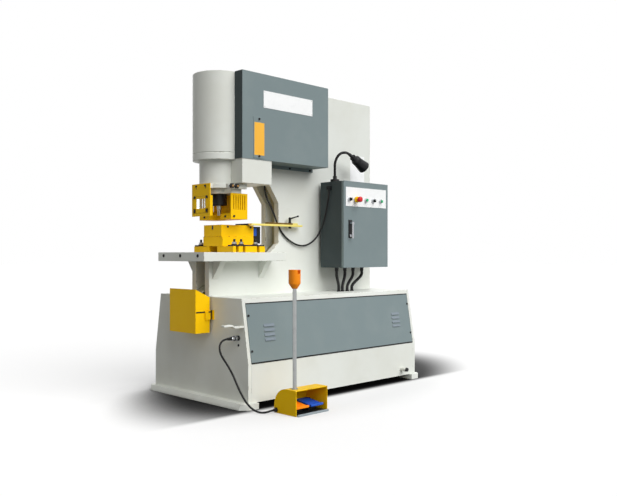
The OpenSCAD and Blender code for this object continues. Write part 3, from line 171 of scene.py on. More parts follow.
def powder_coat(name, colour, dusty, worn):
    """Powder coat with its fine grain."""
    finish = Finish(name, {"Specular IOR Level": 0.04})
    grain = finish.noise(scale=900, detail=2)
    film = finish.noise(scale=6, detail=5)
    chips = finish.edges() * finish.rise(finish.noise(scale=45, detail=4), 0.55, 0.66)
    base = finish.mix(0.5 * finish.rise(film, 0.42, 0.75), colour, dusty)
    base = finish.mix(0.12 * grain, base, worn)
    finish.feed("Base Color", finish.mix(chips, base, worn))
    finish.feed("Roughness", 0.42 + 0.16 * grain)
    finish.bump(grain, distance=0.0004, strength=0.5)
    return finish


def metal(name, colour, smeared, gloss, metallic=1.0, brushed=(1, 1, 1), stain=0.35):
    """Bare or blackened metal with fine scratches and stains."""
    finish = Finish(name, {"Metallic": metallic})
    scratch = finish.noise(scale=420, detail=3, stretch=brushed)
    film = finish.noise(scale=24, detail=5)
    finish.feed("Base Color", finish.mix(stain * finish.rise(film, 0.4, 0.8), colour, smeared))
    finish.feed("Roughness", gloss + 0.16 * scratch + 0.12 * film)
    finish.bump(scratch, distance=0.00008, strength=0.6)
    return finish


def plastic(name, colour, faded, gloss, grain=0.0002):
    """Moulded plastic or rubber with a fine spark grain."""
    finish = Finish(name, {"Specular IOR Level": 0.25})
    skin = finish.noise(scale=700, detail=2)
    film = finish.noise(scale=30, detail=4)
    rub = finish.edges() * finish.rise(finish.noise(scale=80, detail=3), 0.4, 0.7)
    base = finish.mix(0.5 * finish.rise(film, 0.4, 0.8), colour, faded)
    finish.feed("Base Color", finish.mix(0.7 * rub, base, faded))
    finish.feed("Roughness", gloss + 0.15 * film)
    finish.bump(skin, distance=grain, strength=0.6)
    return finish


BRUSHED_X, BRUSHED_Z = (0.05, 1, 1), (1, 1, 0.06)
pale = paint("pale_paint", rgb(228, 231, 225), rgb(216, 217, 207), rgb(190, 188, 178), gloss=0.34, peel=0.25)
# A darker, olive copy of the pale paint that paints the shade and yellow bounce inside the throat and under
# the table.
web_painted_shade = paint(
    "pale_paint_with_painted_web_shade", rgb(176, 174, 152), rgb(160, 157, 134), rgb(150, 146, 128), gloss=0.42, peel=0.25,
)
slate = powder_coat("slate_powder_coat", rgb(126, 140, 142), rgb(135, 147, 148), rgb(156, 164, 164))
# A darker copy of the slate that paints the shade on the cabinet's shell and the cover's ends.
slate_painted_shade = powder_coat("slate_painted_shade_powder_coat", rgb(70, 79, 81), rgb(76, 84, 86), rgb(120, 128, 128))
yellow = paint("yellow_paint", rgb(255, 206, 10), rgb(252, 194, 6), rgb(176, 116, 20), gloss=0.32, peel=0.2)
label = paint("label_yellow", rgb(252, 190, 74), rgb(247, 182, 66), rgb(232, 164, 56), gloss=0.4, peel=0.05)
white = plastic("white_plate", rgb(249, 250, 250), rgb(240, 241, 241), gloss=0.3, grain=0.00005)
black = metal("black_steel", rgb(34, 34, 36), rgb(62, 58, 54), gloss=0.34, metallic=0.55)
bright = metal("bright_steel", rgb(168, 168, 166), rgb(120, 118, 114), gloss=0.2, brushed=BRUSHED_Z)
chrome = metal("chrome", rgb(184, 186, 190), rgb(140, 142, 146), gloss=0.06, stain=0.4)
brass = metal(
    "brass_bar", rgb(242, 226, 124), rgb(222, 198, 92), gloss=0.3, metallic=0.35, brushed=BRUSHED_X,
)
gilt = metal("gilt_hub", rgb(212, 168, 104), rgb(176, 134, 80), gloss=0.36, metallic=0.4)
# A dark umber copy of the brass that paints the stop carriage's shade.
umber_painted_shade = metal("umber_bar_painted_shade", rgb(112, 84, 24), rgb(88, 66, 22), gloss=0.36, metallic=0.4, brushed=BRUSHED_X)
steel = metal("drawn_steel", rgb(160, 162, 162), rgb(128, 128, 126), gloss=0.2, brushed=BRUSHED_Z)
louvre = powder_coat("louvre_powder_coat", rgb(131, 142, 151), rgb(139, 149, 156), rgb(154, 162, 166))
alloy = metal("cast_alloy", rgb(150, 160, 165), rgb(128, 136, 140), gloss=0.42, metallic=0.5)
rubber = plastic("black_rubber", rgb(20, 20, 21), rgb(38, 37, 36), gloss=0.5)
dark = plastic("black_plastic", rgb(18, 19, 20), rgb(40, 41, 42), gloss=0.32)
orange = plastic("orange_plastic", rgb(255, 148, 18), rgb(252, 128, 14), gloss=0.34)
blue = plastic("blue_plastic", rgb(30, 84, 190), rgb(48, 100, 196), gloss=0.34)
green = plastic("green_plastic", rgb(54, 184, 120), rgb(72, 194, 132), gloss=0.24, grain=0.00004)
red = plastic("red_plastic", rgb(216, 40, 46), rgb(202, 50, 54), gloss=0.26, grain=0.00004)
pane = Finish("clear_window", {"Base Color": rgb(226, 238, 238), "IOR": 1.49, "Transmission Weight": 1.0})
pane.feed("Roughness", 0.03 + 0.12 * pane.rise(pane.noise(scale=30, detail=4), 0.45, 0.8))


# Camera

CAMERA_AT, CAMERA_AHEAD = (-3.619, -3.832, 0.92), (0.7024, 0.7118)


def set_camera():
    """A level camera that looks at the machine's near corner."""
    data = bpy.data.cameras.new("camera")
    data.sensor_fit = "HORIZONTAL"
    data.sensor_width = 36
    data.lens = 43.15
    data.shift_x = 0.0028
    data.shift_y = 0.0095
    data.clip_end = 80
    camera = bpy.data.objects.new("camera", data)
    camera.location = CAMERA_AT
    camera.rotation_euler = (math.radians(90), 0, -math.atan2(*CAMERA_AHEAD))
    bpy.context.scene.collection.objects.link(camera)
    bpy.context.scene.camera = camera


set_camera()


# Cables that hang free; their routes are in millimetres, with x from the punch end of the base

END_X = -805
CABLE_R = 6
FOOT_ROUTE = [
    (-90, -399, 417), (-98, -399, 417), (-117, -399, 412), (-134, -400, 400), (-145, -402, 381),
    (-147, -405, 359), (-142, -409, 336), (-132, -414, 314), (-119, -420, 292), (-106, -428, 268),
    (-95, -437, 243), (-86, -448, 217), (-80, -460, 190), (-76, -473, 163), (-72, -488, 135),
    (-67, -506, 106), (-62, -525, 78), (-56, -546, 53), (-48, -569, 32), (-38, -592, 17),
    (-26, -615, 9), (-13, -635, 8), (1, -650, 11), (15, -659, 15), (29, -662, 18), (42, -662, 18),
]
SENSOR_ROUTE = [
    (534, -30, 1438), (534, -30, 1414), (534, -30, 1386), (534, -30, 1358), (535, -35, 1330),
    (537, -46, 1301), (540, -61, 1273), (545, -76, 1246), (551, -88, 1218), (560, -96, 1189),
    (571, -99, 1159), (584, -99, 1133), (599, -99, 1107), (617, -99, 1081), (640, -99, 1055),
    (667, -100, 1032), (697, -101, 1013), (730, -102, 996), (766, -104, 983), (804, -106, 976),
    (843, -109, 978), (880, -114, 990), (912, -121, 1010), (937, -130, 1038), (955, -141, 1071),
    (966, -153, 1106), (972, -165, 1143), (975, -177, 1182), (976, -188, 1222), (976, -199, 1263),
    (976, -208, 1303), (976, -213, 1334), (976, -215, 1354), (976, -215, 1374),
]


def free_cable(node, route):
    """A round cable that follows its route smoothly."""
    points = [mm(x + END_X, y, z) for x, y, z in route]
    curve = bpy.data.curves.new("free_" + node, "CURVE")
    curve.dimensions = "3D"
    curve.bevel_depth = CABLE_R / 1000
    curve.bevel_resolution = 5
    curve.resolution_u = 5
    curve.use_fill_caps = True
    curve.materials.append(rubber.material)
    spline = curve.splines.new("NURBS")
    spline.points.add(len(points) - 1)
    for point, place in zip(spline.points, points):
        point.co = (*place, 1)
    spline.order_u = 4
    spline.use_endpoint_u = True
    obj = bpy.data.objects.new("free_" + node, curve)
    bpy.context.scene.collection.objects.link(obj)
    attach(obj, "machine")
    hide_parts(node)


free_cable("foot_cable", FOOT_ROUTE)
free_cable("sensor_cable", SENSOR_ROUTE)


# Ways of making pieces

BODY_OF = {node: body for body, nodes in frame["record"]["behaviour"]["bodies"].items() for node in nodes}
MERGE = 1e-6
SMOOTH_ANGLE, FLAT_ANGLE, EDGE_ANGLE, RIM_ANGLE = (math.radians(angle) for angle in (35, 0.4, 32, 50))
SHORTEST_WIDTHS = 2.2


def piece(name, bm, finishes, body, stands_for=()):
    """Makes an object of a shape, gives it its finishes and hangs it on its body."""
    mesh = bpy.data.meshes.new(name)
    bm.to_mesh(mesh)
    bm.free()
    for finish in finishes:
        mesh.materials.append(finish.material)
    mesh.polygons.foreach_set("use_smooth", [True] * len(mesh.polygons))
    mesh.set_sharp_from_angle(angle=SMOOTH_ANGLE)
    obj = bpy.data.objects.new(name, mesh)
    bpy.context.scene.collection.objects.link(obj)
    normals = obj.modifiers.new("normals", "WEIGHTED_NORMAL")
    normals.keep_sharp = True
    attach(obj, body)
    if stands_for:
        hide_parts(*stands_for)


def new_shape():
    """An empty shape whose faces can be marked as edge or not."""
    bm = bmesh.new()
    bm.faces.layers.float.new("edge")
    return bm


def round_edges(bm, edges, width, segments=2):
    """Rounds these edges and marks the new faces, where paint wears first."""
    mark = bm.faces.layers.float.get("edge")
    made = bmesh.ops.bevel(
        bm, geom=edges, offset=width / 1000, offset_type="OFFSET", segments=segments, profile=0.5,
        affect="EDGES", material=-1, clamp_overlap=True, loop_slide=True,
    )
    for face in made["faces"]:
        face[mark] = 1


def sharp_edges(bm, angle, least):
    """Edges that turn by more than an angle and are longer than the least."""
    return [
        e for e in bm.edges
        if e.is_manifold and e.calc_length() > least / 1000 and e.calc_face_angle() > angle
    ]


def dress(node, finish, width, others=(), cuts=()):
    """Covers a CAD node with a copy of it that has rounded edges. Each of others is a finish and a
    test of a face's middle, in millimetres, that says where it goes; cuts are planes that part faces."""
    bm = new_shape()
    bm.from_mesh(frame["nodes"][node].data)
    bmesh.ops.remove_doubles(bm, verts=bm.verts, dist=MERGE)
    bmesh.ops.dissolve_limit(bm, angle_limit=FLAT_ANGLE, verts=bm.verts, edges=bm.edges)
    round_edges(bm, sharp_edges(bm, EDGE_ANGLE, SHORTEST_WIDTHS * width), width)
    for at, normal in cuts:
        geom = bm.verts[:] + bm.edges[:] + bm.faces[:]
        bmesh.ops.bisect_plane(bm, geom=geom, plane_co=mm(*at), plane_no=normal)
    for face in bm.faces:
        middle = face.calc_center_median() * 1000
        face.material_index = next((i + 1 for i, (_, test) in enumerate(others) if test(middle)), 0)
    finishes = [finish] + [other for other, _ in others]
    piece("dressed_" + node, bm, finishes, BODY_OF[node], [node])


def span(node):
    """Lowest and highest corner of a CAD node, in millimetres."""
    return [Vector(corner) * 1000 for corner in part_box(node)]


def stand(at, axis):
    """Takes a part made upright at the origin to a place, with its top along an axis."""
    turn = Vector(UP).rotation_difference(Vector(axis))
    return Matrix.Translation(mm(*at)) @ turn.to_matrix().to_4x4()


class Build:
    """A piece put together from turned, sawn and swept parts, each with its own finish."""

    def __init__(self):
        self.bm = new_shape()
        self.finishes = []

    def add(self, part, finish, place=None):
        if finish not in self.finishes:
            self.finishes.append(finish)
        if place:
            bmesh.ops.transform(part, matrix=place, verts=part.verts)
        bmesh.ops.remove_doubles(part, verts=part.verts, dist=MERGE)
        bmesh.ops.recalc_face_normals(part, faces=part.faces)
        for face in part.faces:
            face.material_index = self.finishes.index(finish)
        mesh = bpy.data.meshes.new("part")
        part.to_mesh(mesh)
        part.free()
        self.bm.from_mesh(mesh)
        bpy.data.meshes.remove(mesh)

    def turn(self, finish, at, axis, profile, steps=36):
        """Turns a line of radius and height pairs about an axis."""
        part = new_shape()
        verts = [part.verts.new(mm(radius, 0, height)) for radius, height in profile]
        line = [part.edges.new(pair) for pair in zip(verts, verts[1:])]
        bmesh.ops.spin(
            part, geom=verts + line, cent=(0, 0, 0), axis=UP, dvec=(0, 0, 0), angle=math.tau, steps=steps,
            use_merge=True,
        )
        self.add(part, finish, stand(at, axis))

    def block(self, finish, low, high, width=0.8, segments=2, place=None):
        """A block between two corners with rounded edges, or sharp ones where the width is 0."""
        low, high = mm(*low), mm(*high)
        part = new_shape()
        bmesh.ops.create_cube(part, size=1)
        bmesh.ops.scale(part, vec=high - low, verts=part.verts)
        bmesh.ops.translate(part, vec=(low + high) / 2, verts=part.verts)
        if width:
            round_edges(part, part.edges[:], width, segments)
        self.add(part, finish, place)

    def hexagon(self, finish, at, axis, radius, height, width=0.8):
        """A hexagon nut with rounded edges."""
        part = new_shape()
        bmesh.ops.create_cone(
            part, cap_ends=True, segments=6, radius1=radius / 1000, radius2=radius / 1000,
            depth=height / 1000,
        )
        bmesh.ops.translate(part, vec=mm(0, 0, height / 2), verts=part.verts)
        round_edges(part, part.edges[:], width)
        self.add(part, finish, stand(at, axis))

    def knob(self, finish, at, axis, radius, dip, lobes, height, width):
        """A knob with hand grips round its rim."""
        part = new_shape()
        bmesh.ops.create_circle(part, cap_ends=True, segments=lobes * 8, radius=1)
        for vert in part.verts:
            wave = math.cos(lobes * math.atan2(vert.co.y, vert.co.x))
            vert.co *= (radius - dip * (0.5 - 0.5 * wave)) / 1000
        made = bmesh.ops.extrude_face_region(part, geom=part.faces[:])
        top = [v for v in made["geom"] if isinstance(v, bmesh.types.BMVert)]
        bmesh.ops.translate(part, vec=mm(0, 0, height), verts=top)
        bmesh.ops.recalc_face_normals(part, faces=part.faces)
        round_edges(part, sharp_edges(part, RIM_ANGLE, 0), width, 3)
        self.add(part, finish, stand(at, axis))

    def sweep(self, finish, path, radii, sides):
        """A round skin along a path, with a radius at each of its points."""
        path = [Vector(point) for point in path]
        last = len(path) - 1
        ahead = [path[min(i + 1, last)] - path[max(i - 1, 0)] for i in range(last + 1)]
        turns = [Vector(UP).rotation_difference(ahead[0])]
        for before, after in zip(ahead, ahead[1:]):
            turns.append(before.rotation_difference(after) @ turns[-1])
        part = new_shape()
        bmesh.ops.create_grid(part, x_segments=last, y_segments=sides, size=1)
        for vert in part.verts:
            i = round((vert.co.x + 1) / 2 * last)
            angle = (vert.co.y + 1) * math.pi
            rim = Vector((math.cos(angle), math.sin(angle), 0)) * radii[i]
            vert.co = (path[i] + turns[i] @ rim) / 1000
        bmesh.ops.remove_doubles(part, verts=part.verts, dist=MERGE)
        bmesh.ops.holes_fill(part, edges=[e for e in part.edges if e.is_boundary])
        self.add(part, finish)

    def weld(self, start, end, radius=5):
        """A painted weld bead with its ripples."""
        start, end = Vector(start), Vector(end)
        ripple, fewest = 3, 4
        steps = max(int((end - start).length / ripple), fewest)
        path = [start.lerp(end, i / steps) for i in range(steps + 1)]
        radii = [radius * (0.86 + 0.14 * math.cos(2.1 * i) * math.cos(0.37 * i)) for i in range(steps + 1)]
        self.sweep(pale, path, radii, 8)

    def done(self, name, body):
        """Ends the piece as trim on a body."""
        piece(name, self.bm, self.finishes, body)

    def stands_for(self, node):
        """Ends the piece as the one that is shown for a CAD node."""
        piece("fine_" + node, self.bm, self.finishes, BODY_OF[node], [node])


# Base, frame and cylinder

PANEL_FOOT_Y, PANEL_FOOT_Z, PANEL_LEAN = 490, 266, 62 / 386
LOUVRE_RISE = 1
GAUGE_DARK_Y = -108
CARRIAGE_SHADE_END_X, CARRIAGE_DARK_Z = -108, 1107
BRACKET_FOOT = 6.4
COVER_RIM = 3
DRAIN_PLUG = 12.5
SOLE_TOP, PEDAL_SHADE_Y = 9, -826


def panel_face(z):
    """How far out the leaning side of the base is at a height."""
    return PANEL_FOOT_Y - (z - PANEL_FOOT_Z) * PANEL_LEAN


for node, finish, width in (
    ("foot_rails", pale, 3), ("end_plates", pale, 2.5), ("base_shell", pale, 2), ("cap_screws", black, 0.6),
    ("frame_plates", pale, 3), ("table_plate", pale, 2.5), ("head_box", pale, 3),
    ("cylinder_barrel", pale, 3), ("cylinder_gland", pale, 2), ("stroke_bracket", pale, 2),
    ("die_holder_plate", yellow, 2), ("die_block_lower", yellow, 2), ("die_block_upper", yellow, 2),
    ("die_insert", bright, 0.8), ("guard_mount", pale, 2), ("stripper_plate", yellow, 2),
    ("guard_grilles", yellow, 0.8), ("front_guard", yellow, 0.8), ("guard_window", pane, 0.6),
    # The cabinet's shell takes the darker slate, which paints the shade on its side.
    ("cabinet_shell", slate_painted_shade, 1), ("cabinet_door", slate, 2.5), ("control_plate", white, 0.5),
    ("pedal_hood", yellow, 1.2), ("pole_shroud", orange, 1.2), ("pedal_pole", steel, 0.8),
    ("slug_bin", yellow, 1), ("piston_rod", chrome, 1), ("coupling_nut", black, 1.2),
    ("punch", bright, 0.6), ("pump_motor", slate, 2), ("pump_and_valves", bright, 2),
):
    dress(node, finish, width)

dress(
    "gauge_arm", brass, 1, others=[(black, lambda at: at.y > GAUGE_DARK_Y)],
    cuts=[((0, GAUGE_DARK_Y, 0), FAR)],
)
# The stop carriage is painted dark umber as its shade, and brass past the lever where it is lit.
dress(
    "stop_carriage", umber_painted_shade, 1,
    others=[(black, lambda at: at.z < CARRIAGE_DARK_Z), (brass, lambda at: at.x > CARRIAGE_SHADE_END_X)],
    cuts=[((CARRIAGE_SHADE_END_X, 0, 0), BACK)],
)
bin_low, bin_high = span("slug_bin")
dress(
    "bin_brackets", yellow, 1, others=[(black, lambda at: bin_high.x < at.x < END_X - BRACKET_FOOT)],
    cuts=[((bin_high.x, 0, 0), BACK)],
)
cover_low, cover_high = span("cover")
# The cover's ends take the darker slate, which paints their shade.
dress("cover", slate, 1, others=[
    (slate_painted_shade, lambda at: not cover_low.x + COVER_RIM < at.x < cover_high.x - COVER_RIM),
])
drain_end = span("drain_stub")[0].y
dress("drain_stub", pale, 0.8, others=[(black, lambda at: at.y < drain_end + DRAIN_PLUG)])
plate_out = span("frame_plates")[1].y
# The webs' inner faces take the darker paint as painted shade; their outer faces stay pale.
dress("frame_webs", web_painted_shade, 2, others=[(pale, lambda at: abs(at.y) > plate_out)])
# Behind a line, the top of the foot switch's base plate is painted dark as the shade under the hood.
dress(
    "pedal_base", alloy, 1.5, others=[(dark, lambda at: at.y > PEDAL_SHADE_Y and at.z > SOLE_TOP - 1)],
    cuts=[((0, PEDAL_SHADE_Y, 0), FAR)],
)
dress("side_panels", slate, 1.5, others=[(louvre, lambda at: abs(at.y) > panel_face(at.z) + LOUVRE_RISE)])


def panel_seals_and_painted_shadow_gaps():
    """Black rubber strips in the side panels' upper and lower gaps, which also paint the shadow in those
    gaps.
    """
    build = Build()
    low, high = span("side_panels")
    sunk, proud = 8, 1.4
    for side in (-1, 1):
        for z, height in ((low.z - 5, 9), (high.z - 1, 6)):
            near, far = sorted((side * (panel_face(z) - sunk), side * (panel_face(z) + proud)))
            build.block(dark, (low.x + 1, near, z), (high.x - 1, far, z + height), 0.6)
    build.done("panel_seals_and_painted_shadow_gaps", "machine")


def welds():
    """Beads where the frame stands on the base, under the table and at the foot of the end plates."""
    build = Build()
    low, high = span("frame_plates")
    table_low, table_high = span("table_plate")
    plate_high = span("end_plates")[1]
    rail_z = span("foot_rails")[1].z
    for side in (-1, 1):
        y = side * high.y
        build.weld((low.x + 20, y, low.z), (high.x - 6, y, low.z), 6)
        build.weld((low.x + 6, y, table_low.z), (table_high.x - 6, y, table_low.z))
        for x in (-plate_high.x, plate_high.x):
            build.weld((x, side * 5, rail_z), (x, side * (plate_high.y - 30), rail_z))
    build.done("welds", "machine")


def table_plugs():
    """Dark plugs that close the three holes in the table's front edge."""
    build = Build()
    front, z = span("table_plate")[0].x, 908
    plug = [(0, 0), (8.4, 0), (8.4, 9), (10.6, 9), (10.6, 10.6), (9.6, 11.4), (5, 11.4), (5, 7), (0, 6)]
    for y in (-182, 0, 182):
        build.turn(black, (front + 9, y, z), PUNCH_END, plug, 24)
    build.done("table_plugs", "machine")


def blank_plates():
    """The blank name plate with its rivets, the blank label and the blank sheet."""
    build = Build()
    face, thick, inset = -248, 1.6, 9
    x0, z0, x1, z1 = -473, 1862, -29, 1972
    build.block(white, (x0, face - thick, z0), (x1, face, z1), 0.7)
    rivet = [(3.2, 0), (2.8, 0.7), (1.6, 1.1), (0, 1.2)]
    for x in (x0 + inset, x1 - inset):
        for z in (z0 + inset, z1 - inset):
            build.turn(bright, (x, face - thick, z), NEAR, rivet, 16)
    build.done("name_plate", "machine")

    for name, node, finish, slot, (x0, z0), (x1, z1), thick, width in (
        ("access_label", "cover", label, "yellow_paint", (-553, 1551), (-469, 1760), 0.5, 0.2),
        ("side_sheet", "frame_plates", white, "white_plate", (534, 1466), (694, 1665), 0.6, 0.25),
    ):
        build = Build()
        face = span(node)[0].y
        build.block(finish, (x0, face - thick, z0), (x1, face, z1), width, 1)
        build.done(name, "machine")


panel_seals_and_painted_shadow_gaps()
welds()
table_plugs()
blank_plates()


# Tooling

def thread(radius, low, high, pitch=1.8):
    """The outline of a threaded stud with a chamfered top."""
    outline = [(0, low)]
    turns = int((high - low - 3) / pitch)
    for i in range(turns):
        outline += [(0.9 * radius, low + i * pitch), (radius, low + (i + 0.5) * pitch)]
    return outline + [(0.9 * radius, low + turns * pitch), (0.7 * radius, high), (0, high)]


def holder_clamps():
    """Strips, threaded studs, washers and nuts that hold the die on the table."""
    build = Build()
    low, high = span("holder_clamps")
    holder_low, holder_high = span("die_holder_plate")
    top = holder_high.z + 9
    near_y, stud_y, far_y = 150, 175, 200
    washer = [(8.3, 0), (18.6, 0), (19, 0.6), (19, 3.4), (18.4, 4), (8.3, 4)]
    for side in (-1, 1):
        near, far = sorted((side * near_y, side * far_y))
        build.block(black, (low.x, near, holder_high.z), (high.x, far, top), 1.5, 3)
        for share in (0.13, 0.34, 0.78):
            x, y = holder_low.x + share * (holder_high.x - holder_low.x), side * stud_y
            build.turn(black, (x, y, top), UP, washer)
            build.hexagon(steel, (x, y, top + 4), UP, 15, 14, 1.2)
            build.turn(black, (x, y, 0), UP, thread(8, low.z, high.z), 20)
    build.stands_for("holder_clamps")


def stroke_knobs():
    """Black star knobs with gilt middles on the stroke bracket."""
    build = Build()
    low, high = span("stroke_knobs")
    z, radius = (low.z + high.z) / 2, 17
    hub = [(6, 17), (6, 23), (5, 25), (3, 25), (3, 22), (0, 21.5)]
    for x in (low.x + radius, high.x - radius):
        build.knob(dark, (x, high.y, z), NEAR, radius, dip=3.4, lobes=6, height=18, width=2.6)
        build.turn(gilt, (x, high.y, z), NEAR, hub, 24)
    build.stands_for("stroke_knobs")


def clamp_lever():
    """A lever that tapers towards its ball, on a stepped hub."""
    build = Build()
    low = span("clamp_lever")[0]
    x, y, hub_z = -123, -123, 1131.6
    build.turn(black, (x, y, low.z), UP, [(0, 0), (5, 0), (5, hub_z - low.z + 2)], 20)
    build.turn(dark, (x, y, hub_z), UP, [
        (0, 0), (9, 0), (10, 1.2), (10, 8), (8.8, 10), (8.8, 22), (9.8, 26), (9.8, 34), (8, 38.4), (4, 40),
        (0, 40),
    ])
    slope = math.radians(14)
    ahead = Vector((math.cos(slope), 0, math.sin(slope)))
    start = Vector((x, y, hub_z + 30))
    ball_at, ball_r, tip, tip_r = 80, 7, 86.8, 1.5
    reach = [3 * i for i in range(30)]
    radii = []
    for s in reach[:-1]:
        ball = math.sqrt(max(ball_r ** 2 - (s - ball_at) ** 2, 0.3))
        radii.append(max(6.5 - 0.05 * s, 4.2, ball))
    build.sweep(dark, [start + min(s, tip) * ahead for s in reach], radii + [tip_r], 16)
    build.stands_for("clamp_lever")


def window_frame():
    """A frame with screws round the guard's window, black strips above and below it that paint its shadow
    line, and black inlays that paint the shade in two key slots.
    """
    build = Build()
    front = span("front_guard")[0].x
    low, high = span("guard_window")
    y0, y1, z0, z1 = low.y - 14, high.y + 14, low.z - 16, high.z + 3
    hole_y, hole_z0, hole_z1 = high.y - 12, low.z + 12, high.z - 12
    for a, b, c, d in (
        (y0, z0, y1, hole_z0), (y0, hole_z1, y1, z1), (y0, z0, -hole_y, z1), (hole_y, z0, y1, z1),
    ):
        build.block(yellow, (front - 2, a, b), (front, c, d), 0.6)
    # Black strips above and below the frame paint its shadow line.
    inlay, shadow_line = front - 0.4, 1.2
    for z in (z1, z0 - shadow_line):
        build.block(black, (inlay, y0 - 1, z), (front, y1 + 1, z + shadow_line), 0)
    screw = [(5, 2), (5, 4), (4.2, 4.8), (2.2, 4.8), (2.2, 3.2), (0, 3)]
    for y in (y0 + 9, y1 - 9):
        for z in (z0 + 8, z1 - 9):
            build.turn(black, (front, y, z), PUNCH_END, screw, 20)
    # Black inlays paint the shade inside two key slots.
    slot_z0, slot_z1, slot_half = 1334, 1348, 2.4
    for y in (-52, 48):
        build.block(black, (inlay, y - slot_half, slot_z0), (front, y + slot_half, slot_z1), 0)
    build.done("window_frame", "machine")


def guard_back():
    """A plate that closes the guard between its grilles."""
    build = Build()
    low, high = span("guard_grilles")
    foot = span("stripper_plate")[1].z
    build.block(yellow, (high.x - 6, low.y + 8, foot), (high.x - 3, high.y - 8, high.z), 0.8)
    build.done("guard_back", "machine")


def die_pad_and_painted_shade():
    """Plugs in the die's sides, a black block in its front that paints the shade in its slot, and behind it
    a dark block with a blue pad, the dark block painting the shaded gap there.
    """
    build = Build()
    low, high = span("die_block_upper")
    plug = [(5.7, -4), (5.7, 0), (8, 0), (8, 1), (7.2, 1.6), (3, 1.6), (3, 0.2), (0, 0)]
    hole_z = 1095
    for x in (-642, -451):
        for side in (-1, 1):
            build.turn(black, (x, side * high.y, hole_z), (0, side, 0), plug, 20)
    # Painted shade: a black block for the shaded slot in the die's front.
    build.block(black, (low.x - 0.6, -8, high.z - 30), (low.x + 6, 8, high.z - 3), 0.5)
    x, y = high.x, low.y + 3
    # Painted shade: a dark block for the shaded gap behind the die; the blue pad sits on its near side.
    build.block(dark, (x - 0.5, y, high.z - 118), (x + 62, y + 34, high.z - 6), 2, 3)
    build.block(blue, (x + 1, y - 5, high.z - 68), (x + 25, y + 2, high.z - 14), 2, 3)
    build.done("die_pad_and_painted_shade", "machine")


def end_grommet():
    """A grommet in the end plate, under the foot switch's connector."""
    build = Build()
    hole = [(8, 0), (8, 2), (6.6, 3), (4.4, 3), (4.4, 0.6), (0, 0.4)]
    build.turn(dark, (END_X, -400, 374), PUNCH_END, hole, 24)
    build.done("end_grommet", "machine")


def painted_shadow_lines():
    """Black strips along each side of the bin and beside each of its brackets, which paint a shadow line."""
    bracket_x = span("bin_brackets")[0].x
    z0, z1 = 556, 564
    for name, body, x0, x1, near_y, far_y in (
        ("bin_painted_shadow_lines", "bin", bin_low.x + 3, bin_high.x - 3, 138, 140.5),
        ("bracket_painted_shadow_lines", "machine", bracket_x + 22, END_X - 6, 146.6, 149),
    ):
        build = Build()
        for side in (-1, 1):
            near, far = sorted((side * near_y, side * far_y))
            build.block(black, (x0, near, z0), (x1, far, z1), 0.8)
        build.done(name, body)


holder_clamps()
stroke_knobs()
clamp_lever()
window_frame()
guard_back()
die_pad_and_painted_shade()
end_grommet()
painted_shadow_lines()


# Cabinet and its door

CONTROL_Z = 1304
HANDLE_X, HANDLE_Z = 252, 1135
WIRES = (red, dark, blue)


def push_button(node, finish):
    """A button with a dished top."""
    build = Build()
    low, high = span(node)
    middle, radius, length = (low + high) / 2, (high.x - low.x) / 2, high.y - low.y
    build.turn(finish, (middle.x, high.y, middle.z), NEAR, [
        (0, 0), (radius, 0), (radius, length - 2.4), (radius - 0.6, length - 0.8), (radius - 2, length),
        (radius - 3, length - 0.1), (radius - 4.2, length - 0.8), (0, length - 1.6),
    ])
    build.stands_for(node)


def selector(node):
    """A turning knob with a bar across it and a white line."""
    build = Build()
    low, high = span(node)
    middle, radius, step = (low + high) / 2, (high.x - low.x) / 2, high.y - low.y - 9
    build.turn(dark, (middle.x, high.y, middle.z), NEAR, [
        (0, 0), (radius, 0), (radius, step - 1.4), (radius - 1.2, step), (0, step),
    ])
    build.block(
        dark, (middle.x - 4, low.y + 0.3, low.z + 0.6), (middle.x + 4, low.y + 10, high.z - 0.6), 1.6, 3)
    build.block(
        white, (middle.x - 0.8, low.y, middle.z + 1), (middle.x + 0.8, low.y + 2, high.z - 2.4), 0.2, 1)
    build.stands_for(node)


def stop_button(node, axis, foot, neck):
    """A red mushroom on its shank."""
    build = Build()
    low, high = span(node)
    middle, radius = (low + high) / 2, (high.x - low.x) / 2
    if axis == NEAR:
        at, length = (middle.x, high.y, middle.z), high.y - low.y
    else:
        at, length = (middle.x, middle.y, low.z), high.z - low.z
    build.turn(red, at, axis, [
        (0, 0.6), (foot - 2, 0.6), (foot, 2.6), (foot, neck), (0.86 * radius, neck + 0.4),
        (0.98 * radius, neck + 2), (radius, neck + 4), (radius, length - 9), (0.96 * radius, length - 6),
        (0.84 * radius, length - 2.8), (0.6 * radius, length - 0.8), (0.3 * radius, length - 0.1),
        (0, length),
    ], 48)
    build.stands_for(node)


